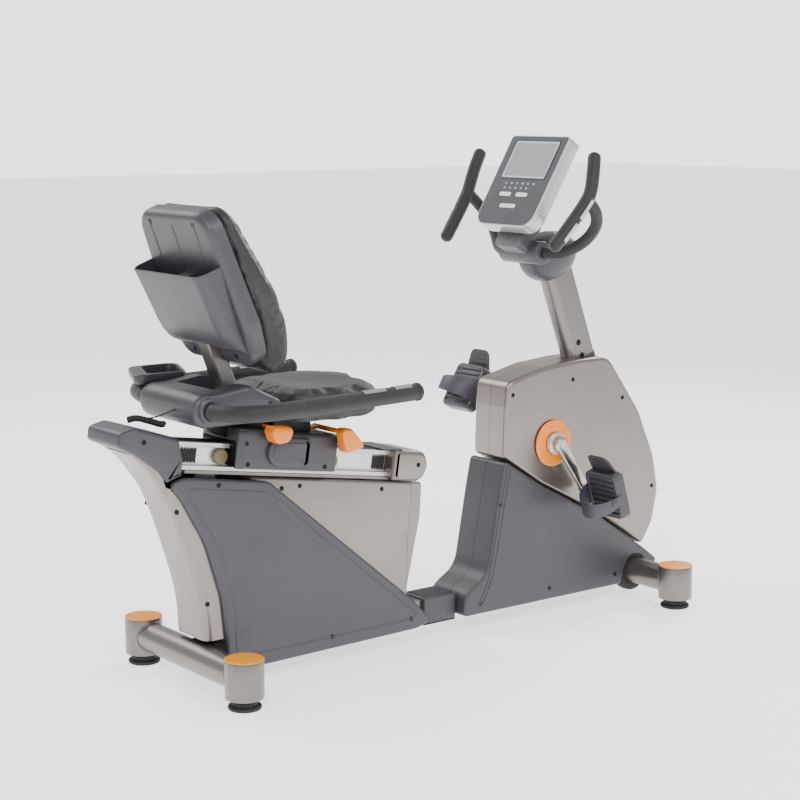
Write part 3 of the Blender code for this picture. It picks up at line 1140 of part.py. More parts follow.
def cup_holder():
    """Skewed dark tray on the seat bar's left bend, with a deeper pocket inside the bend."""
    low_y = 0.144
    high_y = SEAT_BAR_SPREAD + SEAT_BAR_RADIUS
    rim = YOKE.z + 0.060
    base = YOKE.z + SEAT_BAR_RADIUS + 0.010
    rear = YOKE.x - 0.050

    def plan(a, b, depth):
        return Vector((a, b, depth))

    outline = rounded([(rear, low_y, 0.024), (rear + 0.160, low_y, 0.024),
                       (rear + 0.232, high_y, 0.030), (rear + 0.076, high_y, 0.030)], 3)
    tray = slab("cup_holder", outline, base, rim, DARK_PLASTIC, plan, 0.004, 1)
    pocket = slab("cup_pocket", flat((rear + 0.105, low_y + 0.008), (rear + 0.150, low_y + 0.008),
                                     (rear + 0.172, low_y + 0.066), (rear + 0.150, low_y + 0.082),
                                     (rear + 0.122, low_y + 0.066)), YOKE.z - 0.044, base + 0.004,
                  DARK_PLASTIC, plan)
    lug_outline = flat((rear + 0.120, high_y - 0.080), (rear + 0.190, high_y - 0.080),
                       (rear + 0.200, high_y - 0.002), (rear + 0.140, high_y - 0.002))
    lug = slab("cup_lug", lug_outline, YOKE.z + 0.006, base + 0.004, DARK_PLASTIC, plan)
    room = slab("cup_room", inset(outline, 0.008), base + 0.004, rim + 0.050, DARK_PLASTIC, plan)
    join(tray, pocket, lug)
    z = YOKE.z
    spread = SEAT_BAR_SPREAD
    side = [(YOKE.x, YOKE_HALF + 0.012, z), (YOKE.x, YOKE_HALF + 0.040, z),
            (YOKE.x + 0.022, spread - 0.040, z + 0.004), (YOKE.x + 0.085, spread - 0.004, z + 0.007),
            (YOKE.x + 0.200, spread, z + 0.008), (YOKE.x + 0.400, spread, z + 0.012)]
    bar_room = sweep("cup_bar_room", curve_through(side, 2), SEAT_BAR_RADIUS + 0.0015, DARK_PLASTIC, 16)
    return cut(tray, room, bar_room)


# ---- backrest ----
def backrest_view():
    """(across, up, depth): up the backrest from its hinge, depth to the rider's side."""
    up = Vector((-math.sin(BACKREST_TILT), 0, math.cos(BACKREST_TILT)))
    ahead = Vector((math.cos(BACKREST_TILT), 0, math.sin(BACKREST_TILT)))
    return lambda a, b, depth: HINGE - Y_AXIS * a + up * b + ahead * depth


def backrest_post():
    view = backrest_view()
    half = 0.0265
    post = slab("backrest_post", flat((-half, -0.014), (half, -0.014), (half, 0.360), (-half, 0.360)),
                -0.022, 0.022, SILVER_STEEL, view, 0.004, 1, pivot=HINGE)
    bore = rod("post_bore", HINGE - Y_AXIS * 0.060, HINGE + Y_AXIS * 0.060, 0.006 + RUNNING, SILVER_STEEL,
               SMALL_ROUND)
    return cut(post, bore)


def backrest_shell():
    """Dark rear shell; its lower half is a deep bucket whose top opens as a pocket."""
    view = backrest_view()
    low_half = BACKREST_HALF - 0.015
    top_half = BACKREST_HALF - 0.040
    outline = rounded([(-low_half * 0.88, SHELL_LOW, 0.060), (low_half * 0.88, SHELL_LOW, 0.060),
                       (low_half, SHELL_LOW + 0.110, 0.100), (top_half, SHELL_TOP, 0.060),
                       (-top_half, SHELL_TOP, 0.060), (-low_half, SHELL_LOW + 0.110, 0.100)], 3)
    shell = slab("backrest_shell", outline, SHELL_FRONT, SHELL_REAR, DARK_PLASTIC, view, 0.020, 2,
                 pivot=HINGE, both=False)
    hollow = slab("shell_hollow", inset(outline, 0.004), SHELL_FRONT + 0.010, SHELL_REAR + 0.004,
                  DARK_PLASTIC, view, 0.016, 2, both=False)
    cut(shell, hollow)
    join(shell, pocket_bag("shell_bucket", view, 0.0))
    post_room = slab("shell_post_room", flat((-0.028, 0.0), (0.028, 0.0), (0.028, 0.366), (-0.028, 0.366)),
                     -0.0235, SHELL_FRONT + 0.010, DARK_PLASTIC, view)
    back_room = slab("shell_back_room", flat((-0.140, SHELL_LOW + 0.045), (0.140, SHELL_LOW + 0.045),
                                             (0.140, 0.366), (-0.140, 0.366)),
                     -0.0235, SHELL_FRONT + 0.010, DARK_PLASTIC, view)
    pocket_room = pocket_bag("shell_pocket_room", view, 0.004)
    return cut(shell, post_room, back_room, pocket_room)


def pocket_bag(name, view, wall):
    """Bucket behind the shell's lower half; a wall turns it into the pocket's room inside it."""
    levels = [(SHELL_LOW + 0.004, 0.012, 0.010), (SHELL_LOW + 0.030, 0.034, 0.014),
              (POCKET_FLOOR - 0.040, 0.047, 0.018), (POCKET_RIM, 0.062, 0.020)]
    front = SHELL_REAR + 0.010
    if wall:
        levels = [(POCKET_FLOOR, 0.048, 0.012), (POCKET_RIM, 0.062, 0.020),
                  (POCKET_RIM + 0.030, 0.065, 0.020)]
        front = -0.0275
    rings = []
    for up, depth, side in levels:
        width = 0.160 + (up - POCKET_FLOOR) * 0.04 - wall * 2
        back = -depth + wall
        rings.append([view(-width, up, front), view(-width, up, back + side),
                      view(-width * 0.90, up, back), view(width * 0.90, up, back),
                      view(width, up, back + side), view(width, up, front)])
    return add_object(name, loft(rings), DARK_PLASTIC)


def backrest_cushion():
    """Plain closed solid of the back pad's outer shape."""
    view = backrest_view()
    top = CUSHION_LOW + BACKREST_HEIGHT
    half = BACKREST_HALF
    outline = rounded([(-half * 0.78, CUSHION_LOW, 0.050), (half * 0.78, CUSHION_LOW, 0.050),
                       (half * 1.02, CUSHION_LOW + 0.150, 0.090), (half * 0.86, top, 0.075),
                       (-half * 0.86, top, 0.075), (-half * 1.02, CUSHION_LOW + 0.150, 0.090)], 3)
    slab("backrest_cushion", outline, 0.052 + GAP, 0.142, VINYL, view, 0.024, 2, pivot=HINGE, both=False)


# ---- cord ----


def sensor_cord():
    """Curly lead of the pulse sensors, as one tube of its outer diameter."""
    data = bpy.data.curves.new("sensor_cord", "CURVE")
    data.dimensions = "3D"
    data.bevel_depth = CORD_RADIUS
    data.bevel_resolution = 2
    data.use_fill_caps = True
    points = curve_through([(REAR_X + x, y, z) for x, y, z in CORD_ROUTE], 2)
    spline = data.splines.new("POLY")
    spline.points.add(len(points) - 1)
    for slot, point in zip(spline.points, points):
        slot.co = (point.x, point.y, point.z, 1)
    data.materials.append(material(RUBBER))
    piece = bpy.data.objects.new("sensor_cord", data)
    bpy.context.collection.objects.link(piece)


def build():
    clear_scene()
    main_frame()
    stabilizer("rear_stabilizer", REAR_X, 1)
    stabilizer("front_stabilizer", FRONT_X, -1)
    stabilizer_caps_and_feet()
    transport_wheels()
    seat_rail()
    rear_spine_cover()
    rear_side_covers()
    rear_top_cap()
    mid_cover()
    rail_end_cap()
    foot_tread()
    front_covers()
    front_lower_covers()
    crank_axle()
    crank_arms()
    pedals()
    drive_belt()
    generator_rotor()
    mast()
    head_cover()
    console_parts()
    console_handlebar()
    seat_carriage()
    rail_rollers()
    lock_pin()
    carriage_cover()
    seat_lever()
    recline_lever()
    seat_cushion()
    seat_handlebar()
    yoke_cover()
    cup_holder()
    backrest_post()
    backrest_shell()
    backrest_cushion()
    sensor_cord()


build()
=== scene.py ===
import json
import math

import bmesh
import bpy
import numpy as np
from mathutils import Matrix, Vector

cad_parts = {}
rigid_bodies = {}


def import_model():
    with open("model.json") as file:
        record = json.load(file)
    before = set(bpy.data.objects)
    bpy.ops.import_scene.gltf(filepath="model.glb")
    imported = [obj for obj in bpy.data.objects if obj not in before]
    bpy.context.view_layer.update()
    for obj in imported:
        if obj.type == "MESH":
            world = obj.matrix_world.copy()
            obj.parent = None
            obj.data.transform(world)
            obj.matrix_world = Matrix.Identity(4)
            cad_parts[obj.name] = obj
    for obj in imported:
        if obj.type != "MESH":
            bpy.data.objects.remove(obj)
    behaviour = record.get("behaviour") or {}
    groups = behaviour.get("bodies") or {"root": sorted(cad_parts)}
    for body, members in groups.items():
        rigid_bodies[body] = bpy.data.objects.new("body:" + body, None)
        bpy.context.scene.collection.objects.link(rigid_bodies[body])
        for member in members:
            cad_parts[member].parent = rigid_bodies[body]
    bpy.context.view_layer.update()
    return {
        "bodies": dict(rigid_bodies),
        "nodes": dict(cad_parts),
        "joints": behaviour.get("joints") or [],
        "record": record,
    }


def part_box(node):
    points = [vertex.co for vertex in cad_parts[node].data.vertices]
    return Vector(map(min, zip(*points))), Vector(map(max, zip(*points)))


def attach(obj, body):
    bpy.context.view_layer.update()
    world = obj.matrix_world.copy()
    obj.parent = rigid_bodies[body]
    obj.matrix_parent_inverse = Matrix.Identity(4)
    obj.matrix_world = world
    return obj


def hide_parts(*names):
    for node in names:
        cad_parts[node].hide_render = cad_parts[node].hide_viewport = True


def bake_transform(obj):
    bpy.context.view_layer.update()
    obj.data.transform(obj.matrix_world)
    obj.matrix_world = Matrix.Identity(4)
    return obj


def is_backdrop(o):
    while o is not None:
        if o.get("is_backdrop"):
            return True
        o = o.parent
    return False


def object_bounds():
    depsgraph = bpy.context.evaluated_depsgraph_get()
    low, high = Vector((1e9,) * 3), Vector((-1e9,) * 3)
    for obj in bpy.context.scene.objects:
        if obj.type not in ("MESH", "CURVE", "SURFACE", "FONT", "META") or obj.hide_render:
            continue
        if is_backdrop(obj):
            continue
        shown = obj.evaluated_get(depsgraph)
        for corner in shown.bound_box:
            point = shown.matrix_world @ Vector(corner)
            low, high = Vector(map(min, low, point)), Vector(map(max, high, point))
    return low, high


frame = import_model()


def middleOf(node):  # centre of a node's box
    low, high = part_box(node)
    return (Vector(low) + Vector(high)) / 2


rearX = middleOf("rear_stabilizer").x      # the two rows of feet carry every other place
frontX = middleOf("front_stabilizer").x
postY = middleOf("levelling_foot_rear_left").y


# Colours and the node helper
def toLinear(hexColour):
    # sRGB to linear: c / 12.92 for dark channels, otherwise ((c + 0.055) / 1.055) to the power 2.4
    c = np.array([int(hexColour[i:i + 2], 16) for i in (1, 3, 5)]) / 255
    linear = np.where(c <= 0.04045, c / 12.92, ((c + 0.055) / 1.055) ** 2.4)
    return (*linear.tolist(), 1.0)


def addNode(material, kind, settings=None, links=None):
    # one node: settings are attributes or input values, links go from (node, output) to this node's inputs
    tree = material.node_tree
    node = tree.nodes.new(kind)
    for key, value in (settings or {}).items():
        if key in node.inputs:
            node.inputs[key].default_value = value
        else:
            setattr(node, key, value)
    for key, (source, output) in (links or {}).items():
        tree.links.new(source.outputs[output], node.inputs[key])
    return node


def startMaterial(name, **sockets):
    material = bpy.data.materials.new(name)
    material.use_nodes = True
    shader = material.node_tree.nodes["Principled BSDF"]
    for key, value in sockets.items():
        shader.inputs[key].default_value = value
    return material, shader


def mouldedFinish(name, look):
    # colour drifts slowly over the piece, dust and handling show in the roughness, grain is a fine bump
    material, shader = startMaterial(name, **look.get("sockets", {}))
    tree = material.node_tree
    place = addNode(material, "ShaderNodeTexCoord")
    drift = addNode(material, "ShaderNodeTexNoise", {"Scale": 1000 / look["driftMm"], "Detail": 3.0},
                    {"Vector": (place, "Object")})
    colour = addNode(material, "ShaderNodeMix", {"data_type": "RGBA"}, {0: (drift, 0)})
    colour.inputs[6].default_value = toLinear(look["dark"])
    colour.inputs[7].default_value = toLinear(look["light"])
    tree.links.new(colour.outputs[2], shader.inputs["Base Color"])
    smear = addNode(material, "ShaderNodeTexNoise", {"Scale": 1000 / look.get("smearMm", 60), "Detail": 5.0},
                    {"Vector": (place, "Object")})
    rough = addNode(material, "ShaderNodeMapRange",
                    {"To Min": look["rough"][0], "To Max": look["rough"][1]}, {"Value": (smear, 0)})
    tree.links.new(rough.outputs[0], shader.inputs["Roughness"])
    if look.get("cells"):
        grain = addNode(material, "ShaderNodeTexVoronoi",
                        {"feature": "SMOOTH_F1", "Scale": 1000 / look["grainMm"]},
                        {"Vector": (place, "Object")})
    else:
        grain = addNode(material, "ShaderNodeTexNoise", {"Scale": 1000 / look["grainMm"], "Detail": 2.0},
                        {"Vector": (place, "Object")})
    bump = addNode(material, "ShaderNodeBump", {"Strength": look["bump"], "Distance": look["grainMm"] / 4000},
                   {"Height": (grain, 0)})
    tree.links.new(bump.outputs[0], shader.inputs["Normal"])
    return material


finishes = {
    # ABS with an etched mould: blue-grey, satin, a fine grain that softens highlights
    "texturedAbs": {"dark": "#36353b", "light": "#3e3d44", "driftMm": 260, "rough": (0.36, 0.46),
                    "grainMm": 0.9, "bump": 0.18, "sockets": {"IOR": 1.53}},
    # the same ABS on the console's face, smoother and bluer
    "consoleAbs": {"dark": "#1d2229", "light": "#242a32", "driftMm": 120, "rough": (0.46, 0.54),
                   "grainMm": 0.6, "bump": 0.08, "sockets": {"IOR": 1.53}},
    # ABS sprayed with champagne-silver paint: soft metallic flake under a satin clear coat
    "champagnePaint": {"dark": "#837a74", "light": "#918883", "driftMm": 420, "rough": (0.26, 0.34),
                       "grainMm": 0.7, "bump": 0.06,
                       "sockets": {"Metallic": 0.85, "Coat Weight": 0.25, "Coat Roughness": 0.18}},
    # brighter silver paint on the console's shell
    "brightSilverPaint": {"dark": "#bdb9b6", "light": "#cdc9c5", "driftMm": 150, "rough": (0.24, 0.30),
                          "grainMm": 0.7, "bump": 0.05,
                          "sockets": {"Metallic": 0.55, "Coat Weight": 0.3, "Coat Roughness": 0.15}},
    # powder coat on steel: grey-silver with a faint orange peel
    "powderCoat": {"dark": "#76716e", "light": "#827d79", "driftMm": 300, "rough": (0.28, 0.38),
                   "grainMm": 2.2, "bump": 0.16, "sockets": {"Metallic": 0.85, "Coat Weight": 0.15}},
    # orange ABS, glossy moulded
    "orangeAbs": {"dark": "#f07c00", "light": "#fb8a00", "driftMm": 60, "rough": (0.24, 0.34),
                  "grainMm": 1.2, "bump": 0.05, "sockets": {"IOR": 1.53, "Coat Weight": 0.2}},
    # yellow-orange nylon end caps
    "amberNylon": {"dark": "#f79a00", "light": "#ffa600", "driftMm": 40, "rough": (0.34, 0.44),
                   "grainMm": 1.0, "bump": 0.06, "sockets": {"IOR": 1.52}},
    # clear anodised extrusion: near white, drawn along its length
    "anodisedRail": {"dark": "#d2d0ce", "light": "#e2e0de", "driftMm": 200, "rough": (0.26, 0.36),
                     "grainMm": 1.0, "bump": 0.04, "sockets": {"Metallic": 0.75}},
    # moulded rubber: nearly black, dull, dusty
    "mouldedRubber": {"dark": "#191819", "light": "#232223", "driftMm": 50, "rough": (0.62, 0.80),
                      "grainMm": 1.4, "bump": 0.25, "sockets": {"IOR": 1.50}},
    # closed-cell NBR foam: black, soft, finely pored
    "foamSleeve": {"dark": "#161518", "light": "#1d1c1f", "driftMm": 40, "rough": (0.50, 0.66),
                   "grainMm": 1.6, "bump": 0.35, "cells": True,
                   "sockets": {"IOR": 1.48, "Sheen Weight": 0.12, "Sheen Roughness": 0.5}},
    # PVC leathercloth: charcoal, pebbled grain drawn 2 mm across so that it shows, low sheen
    "leathercloth": {"dark": "#1c1b1e", "light": "#252427", "driftMm": 90, "rough": (0.40, 0.52),
                     "grainMm": 2.0, "bump": 0.42, "cells": True,
                     "sockets": {"IOR": 1.5, "Sheen Weight": 0.10, "Sheen Roughness": 0.4}},
    # off-white ABS keys
    "whiteAbs": {"dark": "#dddde0", "light": "#ececee", "driftMm": 30, "rough": (0.30, 0.38),
                 "grainMm": 0.8, "bump": 0.04, "sockets": {"IOR": 1.53}},
    # bronze-coloured cast nylon of the rollers
    "castNylon": {"dark": "#6d6248", "light": "#857857", "driftMm": 20, "rough": (0.35, 0.45),
                  "grainMm": 0.8, "bump": 0.08, "sockets": {"IOR": 1.53}},
    # chrome-plated steel: bright, almost mirror smooth
    "platedSteel": {"dark": "#b3afaa", "light": "#c6c2bd", "driftMm": 60, "rough": (0.18, 0.27),
                    "grainMm": 0.8, "bump": 0.03, "sockets": {"Metallic": 1.0}},
    # black oxide screws
    "blackOxide": {"dark": "#141416", "light": "#1d1d20", "driftMm": 8, "rough": (0.38, 0.5),
                   "grainMm": 0.6, "bump": 0.1, "sockets": {"Metallic": 0.6}},
    # soft PVC of the pedals and straps: grey, satin
    "pedalPvc": {"dark": "#3a3a43", "light": "#44444d", "driftMm": 60, "rough": (0.42, 0.54),
                 "grainMm": 1.1, "bump": 0.16, "sockets": {"IOR": 1.52}},
    # LCD with its polariser: grey-green behind clear acrylic
    "lcdGlass": {"dark": "#5d5f58", "light": "#696b64", "driftMm": 90, "rough": (0.10, 0.16),
                 "grainMm": 1.0, "bump": 0.0, "sockets": {"Coat Weight": 0.2, "Coat Roughness": 0.03}},
    # blue-grey printed border of the LCD
    "lcdBorder": {"dark": "#6f8290", "light": "#7c8f9c", "driftMm": 40, "rough": (0.16, 0.22),
                  "grainMm": 1.0, "bump": 0.0, "sockets": {"Coat Weight": 1.0, "Coat Roughness": 0.05}},
    # white pad printing
    "padPrint": {"dark": "#c9cdd2", "light": "#d8dbdf", "driftMm": 10, "rough": (0.45, 0.55),
                 "grainMm": 0.6, "bump": 0.02, "sockets": {"IOR": 1.5}},
}
made = {name: mouldedFinish(name, look) for name, look in finishes.items()}
print("finishes made:", len(made))


# Shapes: each function gives points and faces, worked out as whole arrays
def arcLoop(corners, steps=7, least=0.0):
    # outline from corners (a, b, radius): every corner is an arc that touches both of its edges
    # least: outward corners get at least this radius, so that an inset of that size stays a clean outline
    corners = np.array(corners, float)
    x, y = corners[:, 0], corners[:, 1]
    area = (np.roll(x, 1) * y - np.roll(y, 1) * x).sum()
    toHere = corners[:, :2] - np.roll(corners[:, :2], 1, 0)
    fromHere = np.roll(corners[:, :2], -1, 0) - corners[:, :2]
    outward = (toHere[:, 0] * fromHere[:, 1] - toHere[:, 1] * fromHere[:, 0]) * area > 0
    corners[:, 2] = np.where(outward, np.maximum(corners[:, 2], least), corners[:, 2])
    here = corners[:, :2]
    back = np.roll(here, 1, 0) - here
    ahead = np.roll(here, -1, 0) - here
    back /= np.linalg.norm(back, axis=1, keepdims=True)
    ahead /= np.linalg.norm(ahead, axis=1, keepdims=True)
    half = np.arccos(np.clip((back * ahead).sum(1), -0.99999, 0.99999)) / 2
    radius = np.maximum(corners[:, 2], 1e-4)[:, None]
    middle = back + ahead
    middle /= np.linalg.norm(middle, axis=1, keepdims=True)
    centre = here + middle * radius / np.sin(half)[:, None]
    start = here + back * radius / np.tan(half)[:, None] - centre
    end = here + ahead * radius / np.tan(half)[:, None] - centre
    angle = np.arctan2(start[:, 1], start[:, 0])
    turn = (np.arctan2(end[:, 1], end[:, 0]) - angle + math.pi) % (2 * math.pi) - math.pi
    angles = angle[:, None] + turn[:, None] * np.linspace(0, 1, steps + 1)
    circle = np.stack([np.cos(angles), np.sin(angles)], -1)
    points = (centre[:, None] + radius[:, None] * circle).reshape(-1, 2)
    apart = np.linalg.norm(points - np.roll(points, 1, 0), axis=1) > 2e-5
    return points[apart]


def throughKnots(knots, steps=8, closed=False):
    # smooth curve through knots: each stretch is the Catmull-Rom cubic of its four nearest knots
    knots = np.array(knots, float)
    if closed:
        knots = np.concatenate([knots[-1:], knots, knots[:2]])
    else:
        knots = np.concatenate([2 * knots[:1] - knots[1:2], knots, 2 * knots[-1:] - knots[-2:-1]])
    a, b, c, d = knots[:-3, None], knots[1:-2, None], knots[2:-1, None], knots[3:, None]
    t = (np.arange(steps) / steps)[None, :, None]
    curve = (2 * b + (c - a) * t + (2 * a - 5 * b + 4 * c - d) * t ** 2 + (3 * b - a - 3 * c + d)
             * t ** 3) / 2
    curve = curve.reshape(-1, knots.shape[1])
    return curve if closed else np.concatenate([curve, knots[-2:-1]])


def evenLoop(loop, count):
    # the same closed outline with its points at equal distances along it
    closed = np.concatenate([loop, loop[:1]])
    along = np.concatenate([[0], np.cumsum(np.linalg.norm(np.diff(closed, axis=0), axis=1))])
    wanted = np.linspace(0, along[-1], count, endpoint=False)
    return np.stack([np.interp(wanted, along, closed[:, k]) for k in range(loop.shape[1])], 1)


def insetLoop(loop, distance):
    # every point moves inwards, square to its two edges, by the distance
    back = loop - np.roll(loop, 1, 0)
    ahead = np.roll(loop, -1, 0) - loop
    back = back / np.maximum(np.linalg.norm(back, axis=1, keepdims=True), 1e-9)
    ahead = ahead / np.maximum(np.linalg.norm(ahead, axis=1, keepdims=True), 1e-9)
    previous = np.roll(loop, 1, 0)
    area = (previous[:, 0] * loop[:, 1] - previous[:, 1] * loop[:, 0]).sum()
    side = 1 if area > 0 else -1
    normal = np.stack([-back[:, 1] - ahead[:, 1], back[:, 0] + ahead[:, 0]], 1) * side
    normal /= np.maximum(np.linalg.norm(normal, axis=1, keepdims=True), 1e-9)
    square = np.stack([-back[:, 1], back[:, 0]], 1) * side
    stretch = np.maximum((normal * square).sum(1, keepdims=True), 0.5)
    return loop + normal * distance / stretch


def gridShape(grid, closeRows=False, closeCols=True, caps=(True, True)):
    # quads between neighbouring rows and columns of a grid of points, with the end rows filled
    rows, cols = grid.shape[:2]
    i = np.arange(rows if closeRows else rows - 1)[:, None]
    j = np.arange(cols if closeCols else cols - 1)[None, :]
    nextI, nextJ = (i + 1) % rows, (j + 1) % cols
    quads = np.stack([i * cols + j + 0 * nextI, i * cols + nextJ, nextI * cols + nextJ, nextI * cols + j], -1)
    faces = quads.reshape(-1, 4).tolist()
    if not closeRows and closeCols:
        if caps[0]:
            faces.append(list(range(cols)))
        if caps[1]:
            faces.append(list(range((rows - 1) * cols, rows * cols)))
    return grid.reshape(-1, 3), faces


def layered(loop, layers, place, closeRows=False, caps=(True, True)):
    # one outline carried through layers (depth, inset), each laid in space by place(a, b, depth)
    rings = [insetLoop(loop, inset) if inset else loop for depth, inset in layers]
    grid = np.stack([place(ring[:, 0], ring[:, 1], np.full(len(ring), depth))
                     for ring, (depth, inset) in zip(rings, layers)])
    return gridShape(grid, closeRows, caps=caps)


def roundEdge(start, end, edge, steps=5, both=True):
    # layers of a slab whose edges are quarter circles: depth e(1 - cos t), inset e(1 - sin t)
    side = 1 if end > start else -1
    t = np.linspace(0, math.pi / 2, steps + 1)
    near = [(start + side * edge * (1 - math.cos(k)), edge * (1 - math.sin(k))) for k in t]
    far = [(end - side * edge * (1 - math.sin(k)), edge * (1 - math.cos(k))) for k in t]
    return (near if both else [(start, 0.0)]) + far


def coverLayers(rim, closed, wall, edge, steps=6):
    # outer wall from the rim over the rounded edge, then back inside it to the rim
    side = 1 if closed > rim else -1
    outer = roundEdge(rim, closed, edge, steps, both=False)
    inner = [(closed - side * wall, edge + wall), (closed - side * (edge + wall), wall), (rim, wall)]
    return outer, inner


def coverShape(loop, rim, closed, wall, edge, place, steps=6):
    # a thin cover: the outer surface, the inner surface, and the rim between them
    outer, inner = coverLayers(rim, closed, wall, edge, steps)
    rings = [place(*insetLoop(loop, inset).T, np.full(len(loop), depth)) for depth, inset in outer + inner]
    grid = np.stack(rings)
    count = grid.shape[1]
    points, faces = gridShape(grid, closeRows=True)
    first = len(outer) - 1
    faces = faces[:first * count] + faces[(first + 1) * count:]
    faces.append(list(range(first * count, (first + 1) * count)))
    faces.append(list(range((first + 1) * count, (first + 2) * count)))
    return points, faces


def turned(profile, centre, axis, sides=56):
    # (radius, height) points carried round an axis
    axis = np.array(Vector(axis).normalized())
    across = np.array(Vector(axis).orthogonal().normalized())
    other = np.cross(axis, across)
    profile = np.array(profile, float)
    t = np.linspace(0, 2 * math.pi, sides, endpoint=False)
    circle = np.cos(t)[:, None] * across + np.sin(t)[:, None] * other
    grid = np.array(centre) + profile[:, 1, None, None] * axis + profile[:, 0, None, None] * circle[None]
    return gridShape(grid, caps=(False, False))


def ringShape(profile, centre, axis, sides=56):
    # a closed (radius, height) section carried round an axis
    points, faces = turned(profile, centre, axis, sides)
    grid = points.reshape(len(profile), sides, 3)
    return gridShape(grid, closeRows=True)


def tube(path, radius, sides=24, hint=(0, 0, 1), caps=True):
    # circles square to the path; their first axis stays square to the hint direction
    path = np.array(path, float)
    radius = np.broadcast_to(np.asarray(radius, float), (len(path),))
    tangent = np.gradient(path, axis=0)
    tangent /= np.linalg.norm(tangent, axis=1, keepdims=True)
    first = np.cross(tangent, np.array(hint, float))
    first /= np.linalg.norm(first, axis=1, keepdims=True)
    second = np.cross(tangent, first)
    t = np.linspace(0, 2 * math.pi, sides, endpoint=False)
    circle = first[:, None] * np.cos(t)[None, :, None] + second[:, None] * np.sin(t)[None, :, None]
    return gridShape(path[:, None] + circle * radius[:, None, None], caps=(caps, caps))


def endedTube(path, radius, sides=24, hint=(0, 0, 1), dome=0.6):
    # a tube whose two ends are rounded over as quarter ellipses
    path = np.array(path, float)
    t = np.linspace(0, math.pi / 2, 6)[1:]
    startWay = (path[0] - path[1]) / np.linalg.norm(path[0] - path[1])
    endWay = (path[-1] - path[-2]) / np.linalg.norm(path[-1] - path[-2])
    start = path[0] + startWay * (radius * dome * np.sin(t[::-1]))[:, None]
    end = path[-1] + endWay * (radius * dome * np.sin(t))[:, None]
    whole = np.concatenate([start, path, end])
    radii = np.concatenate([radius * np.cos(t[::-1]), np.full(len(path), radius), radius * np.cos(t)])
    return tube(whole, np.maximum(radii, 1e-5), sides, hint)


def together(parts):
    # several shapes as one: faces of each count on from the points before it
    points, faces, count = [], [], 0
    for partPoints, partFaces in parts:
        points.append(partPoints)
        faces += [[k + count for k in face] for face in partFaces]
        count += len(partPoints)
    return np.concatenate(points), faces


def makePiece(name, shape, finish, body, replaced=(), smoothDegrees=35):
    # the shape as one object: doubles merged, faces outwards, sharp only where the surface turns hard
    points, faces = shape
    mesh = bpy.data.meshes.new(name)
    mesh.from_pydata(points.tolist(), [], faces)
    work = bmesh.new()
    work.from_mesh(mesh)
    bmesh.ops.remove_doubles(work, verts=work.verts, dist=2e-6)
    bmesh.ops.recalc_face_normals(work, faces=work.faces)
    work.to_mesh(mesh)
    work.free()
    mesh.materials.append(made[finish])
    mesh.shade_smooth()
    mesh.set_sharp_from_angle(angle=math.radians(smoothDegrees))
    piece = bpy.data.objects.new(name, mesh)
    bpy.context.scene.collection.objects.link(piece)
    if body:    # a piece without one is left without a body
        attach(piece, body)
    if replaced:
        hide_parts(*replaced)
    return piece


def planeView(origin, across, up, out):
    # point = origin + a across + b up + depth out
    origin, across, up, out = (np.array(v, float) for v in (origin, across, up, out))
    return lambda a, b, d: (origin + np.multiply.outer(np.asarray(a, float), across)
                            + np.multiply.outer(np.asarray(b, float), up)
                            + np.multiply.outer(np.asarray(d, float), out))


railTilt = math.radians(8.6)
backTilt = math.radians(20.5)
faceTilt = math.radians(31.4)
mastTilt = math.radians(20.4)
sideView = planeView((rearX, 0, 0), (1, 0, 0), (0, 0, 1), (0, 1, 0))      # x is counted from the rear feet
frontView = planeView((frontX, 0, 0), (1, 0, 0), (0, 0, 1), (0, 1, 0))    # x is counted from the front feet
worldSide = planeView((0, 0, 0), (1, 0, 0), (0, 0, 1), (0, 1, 0))
planView = planeView((0, 0, 0), (1, 0, 0), (0, 1, 0), (0, 0, 1))
railMiddle = (rearX + 0.290, 0, 0.573)
railView = planeView(railMiddle, (math.cos(railTilt), 0, -math.sin(railTilt)),
                     (math.sin(railTilt), 0, math.cos(railTilt)), (0, 1, 0))
hinge = np.array([rearX + 0.129, 0, 0.742])
backView = planeView(hinge, (0, -1, 0), (-math.sin(backTilt), 0, math.cos(backTilt)),
                     (math.cos(backTilt), 0, math.sin(backTilt)))
faceView = planeView((frontX - 0.495, 0, 1.160), (0, -1, 0), (math.sin(faceTilt), 0, math.cos(faceTilt)),
                     (-math.cos(faceTilt), 0, math.sin(faceTilt)))
mastView = planeView((frontX - 0.186, 0, 0.755), (math.cos(mastTilt), 0, math.sin(mastTilt)), (0, 1, 0),
                     (-math.sin(mastTilt), 0, math.cos(mastTilt)))
screwPlaces = {}    # body: list of (point, direction, radius), gathered from every piece


def addScrews(body, points, direction, radius=0.0065):
    screwPlaces.setdefault(body, []).extend((np.array(p, float), direction, radius) for p in points)


def addSideScrews(body, half, places, radius=0.0065):
    # the same screws on the right and on the left: x is counted from the rear feet, half is the surface's y
    for sign in (-1, 1):
        addScrews(body, [(rearX + x, sign * half, z) for x, z in places], (0, sign, 0), radius)


# Camera and light
camera = {"place": (-3.1314, -4.0074, 1.5089), "yaw": 37.895, "down": 9.185, "lens": 82.8}
eye = bpy.data.objects.new("camera", bpy.data.cameras.new("camera"))
bpy.context.scene.collection.objects.link(eye)
yaw, down = math.radians(camera["yaw"]), math.radians(camera["down"])
ahead = Vector((math.sin(yaw) * math.cos(down), math.cos(yaw) * math.cos(down), -math.sin(down)))
eye.location = camera["place"]
eye.rotation_mode = "QUATERNION"
eye.rotation_quaternion = ahead.to_track_quat("-Z", "Y")
eye.data.lens = camera["lens"]
eye.data.sensor_width = 36
eye.data.clip_end = 100
bpy.context.scene.camera = eye

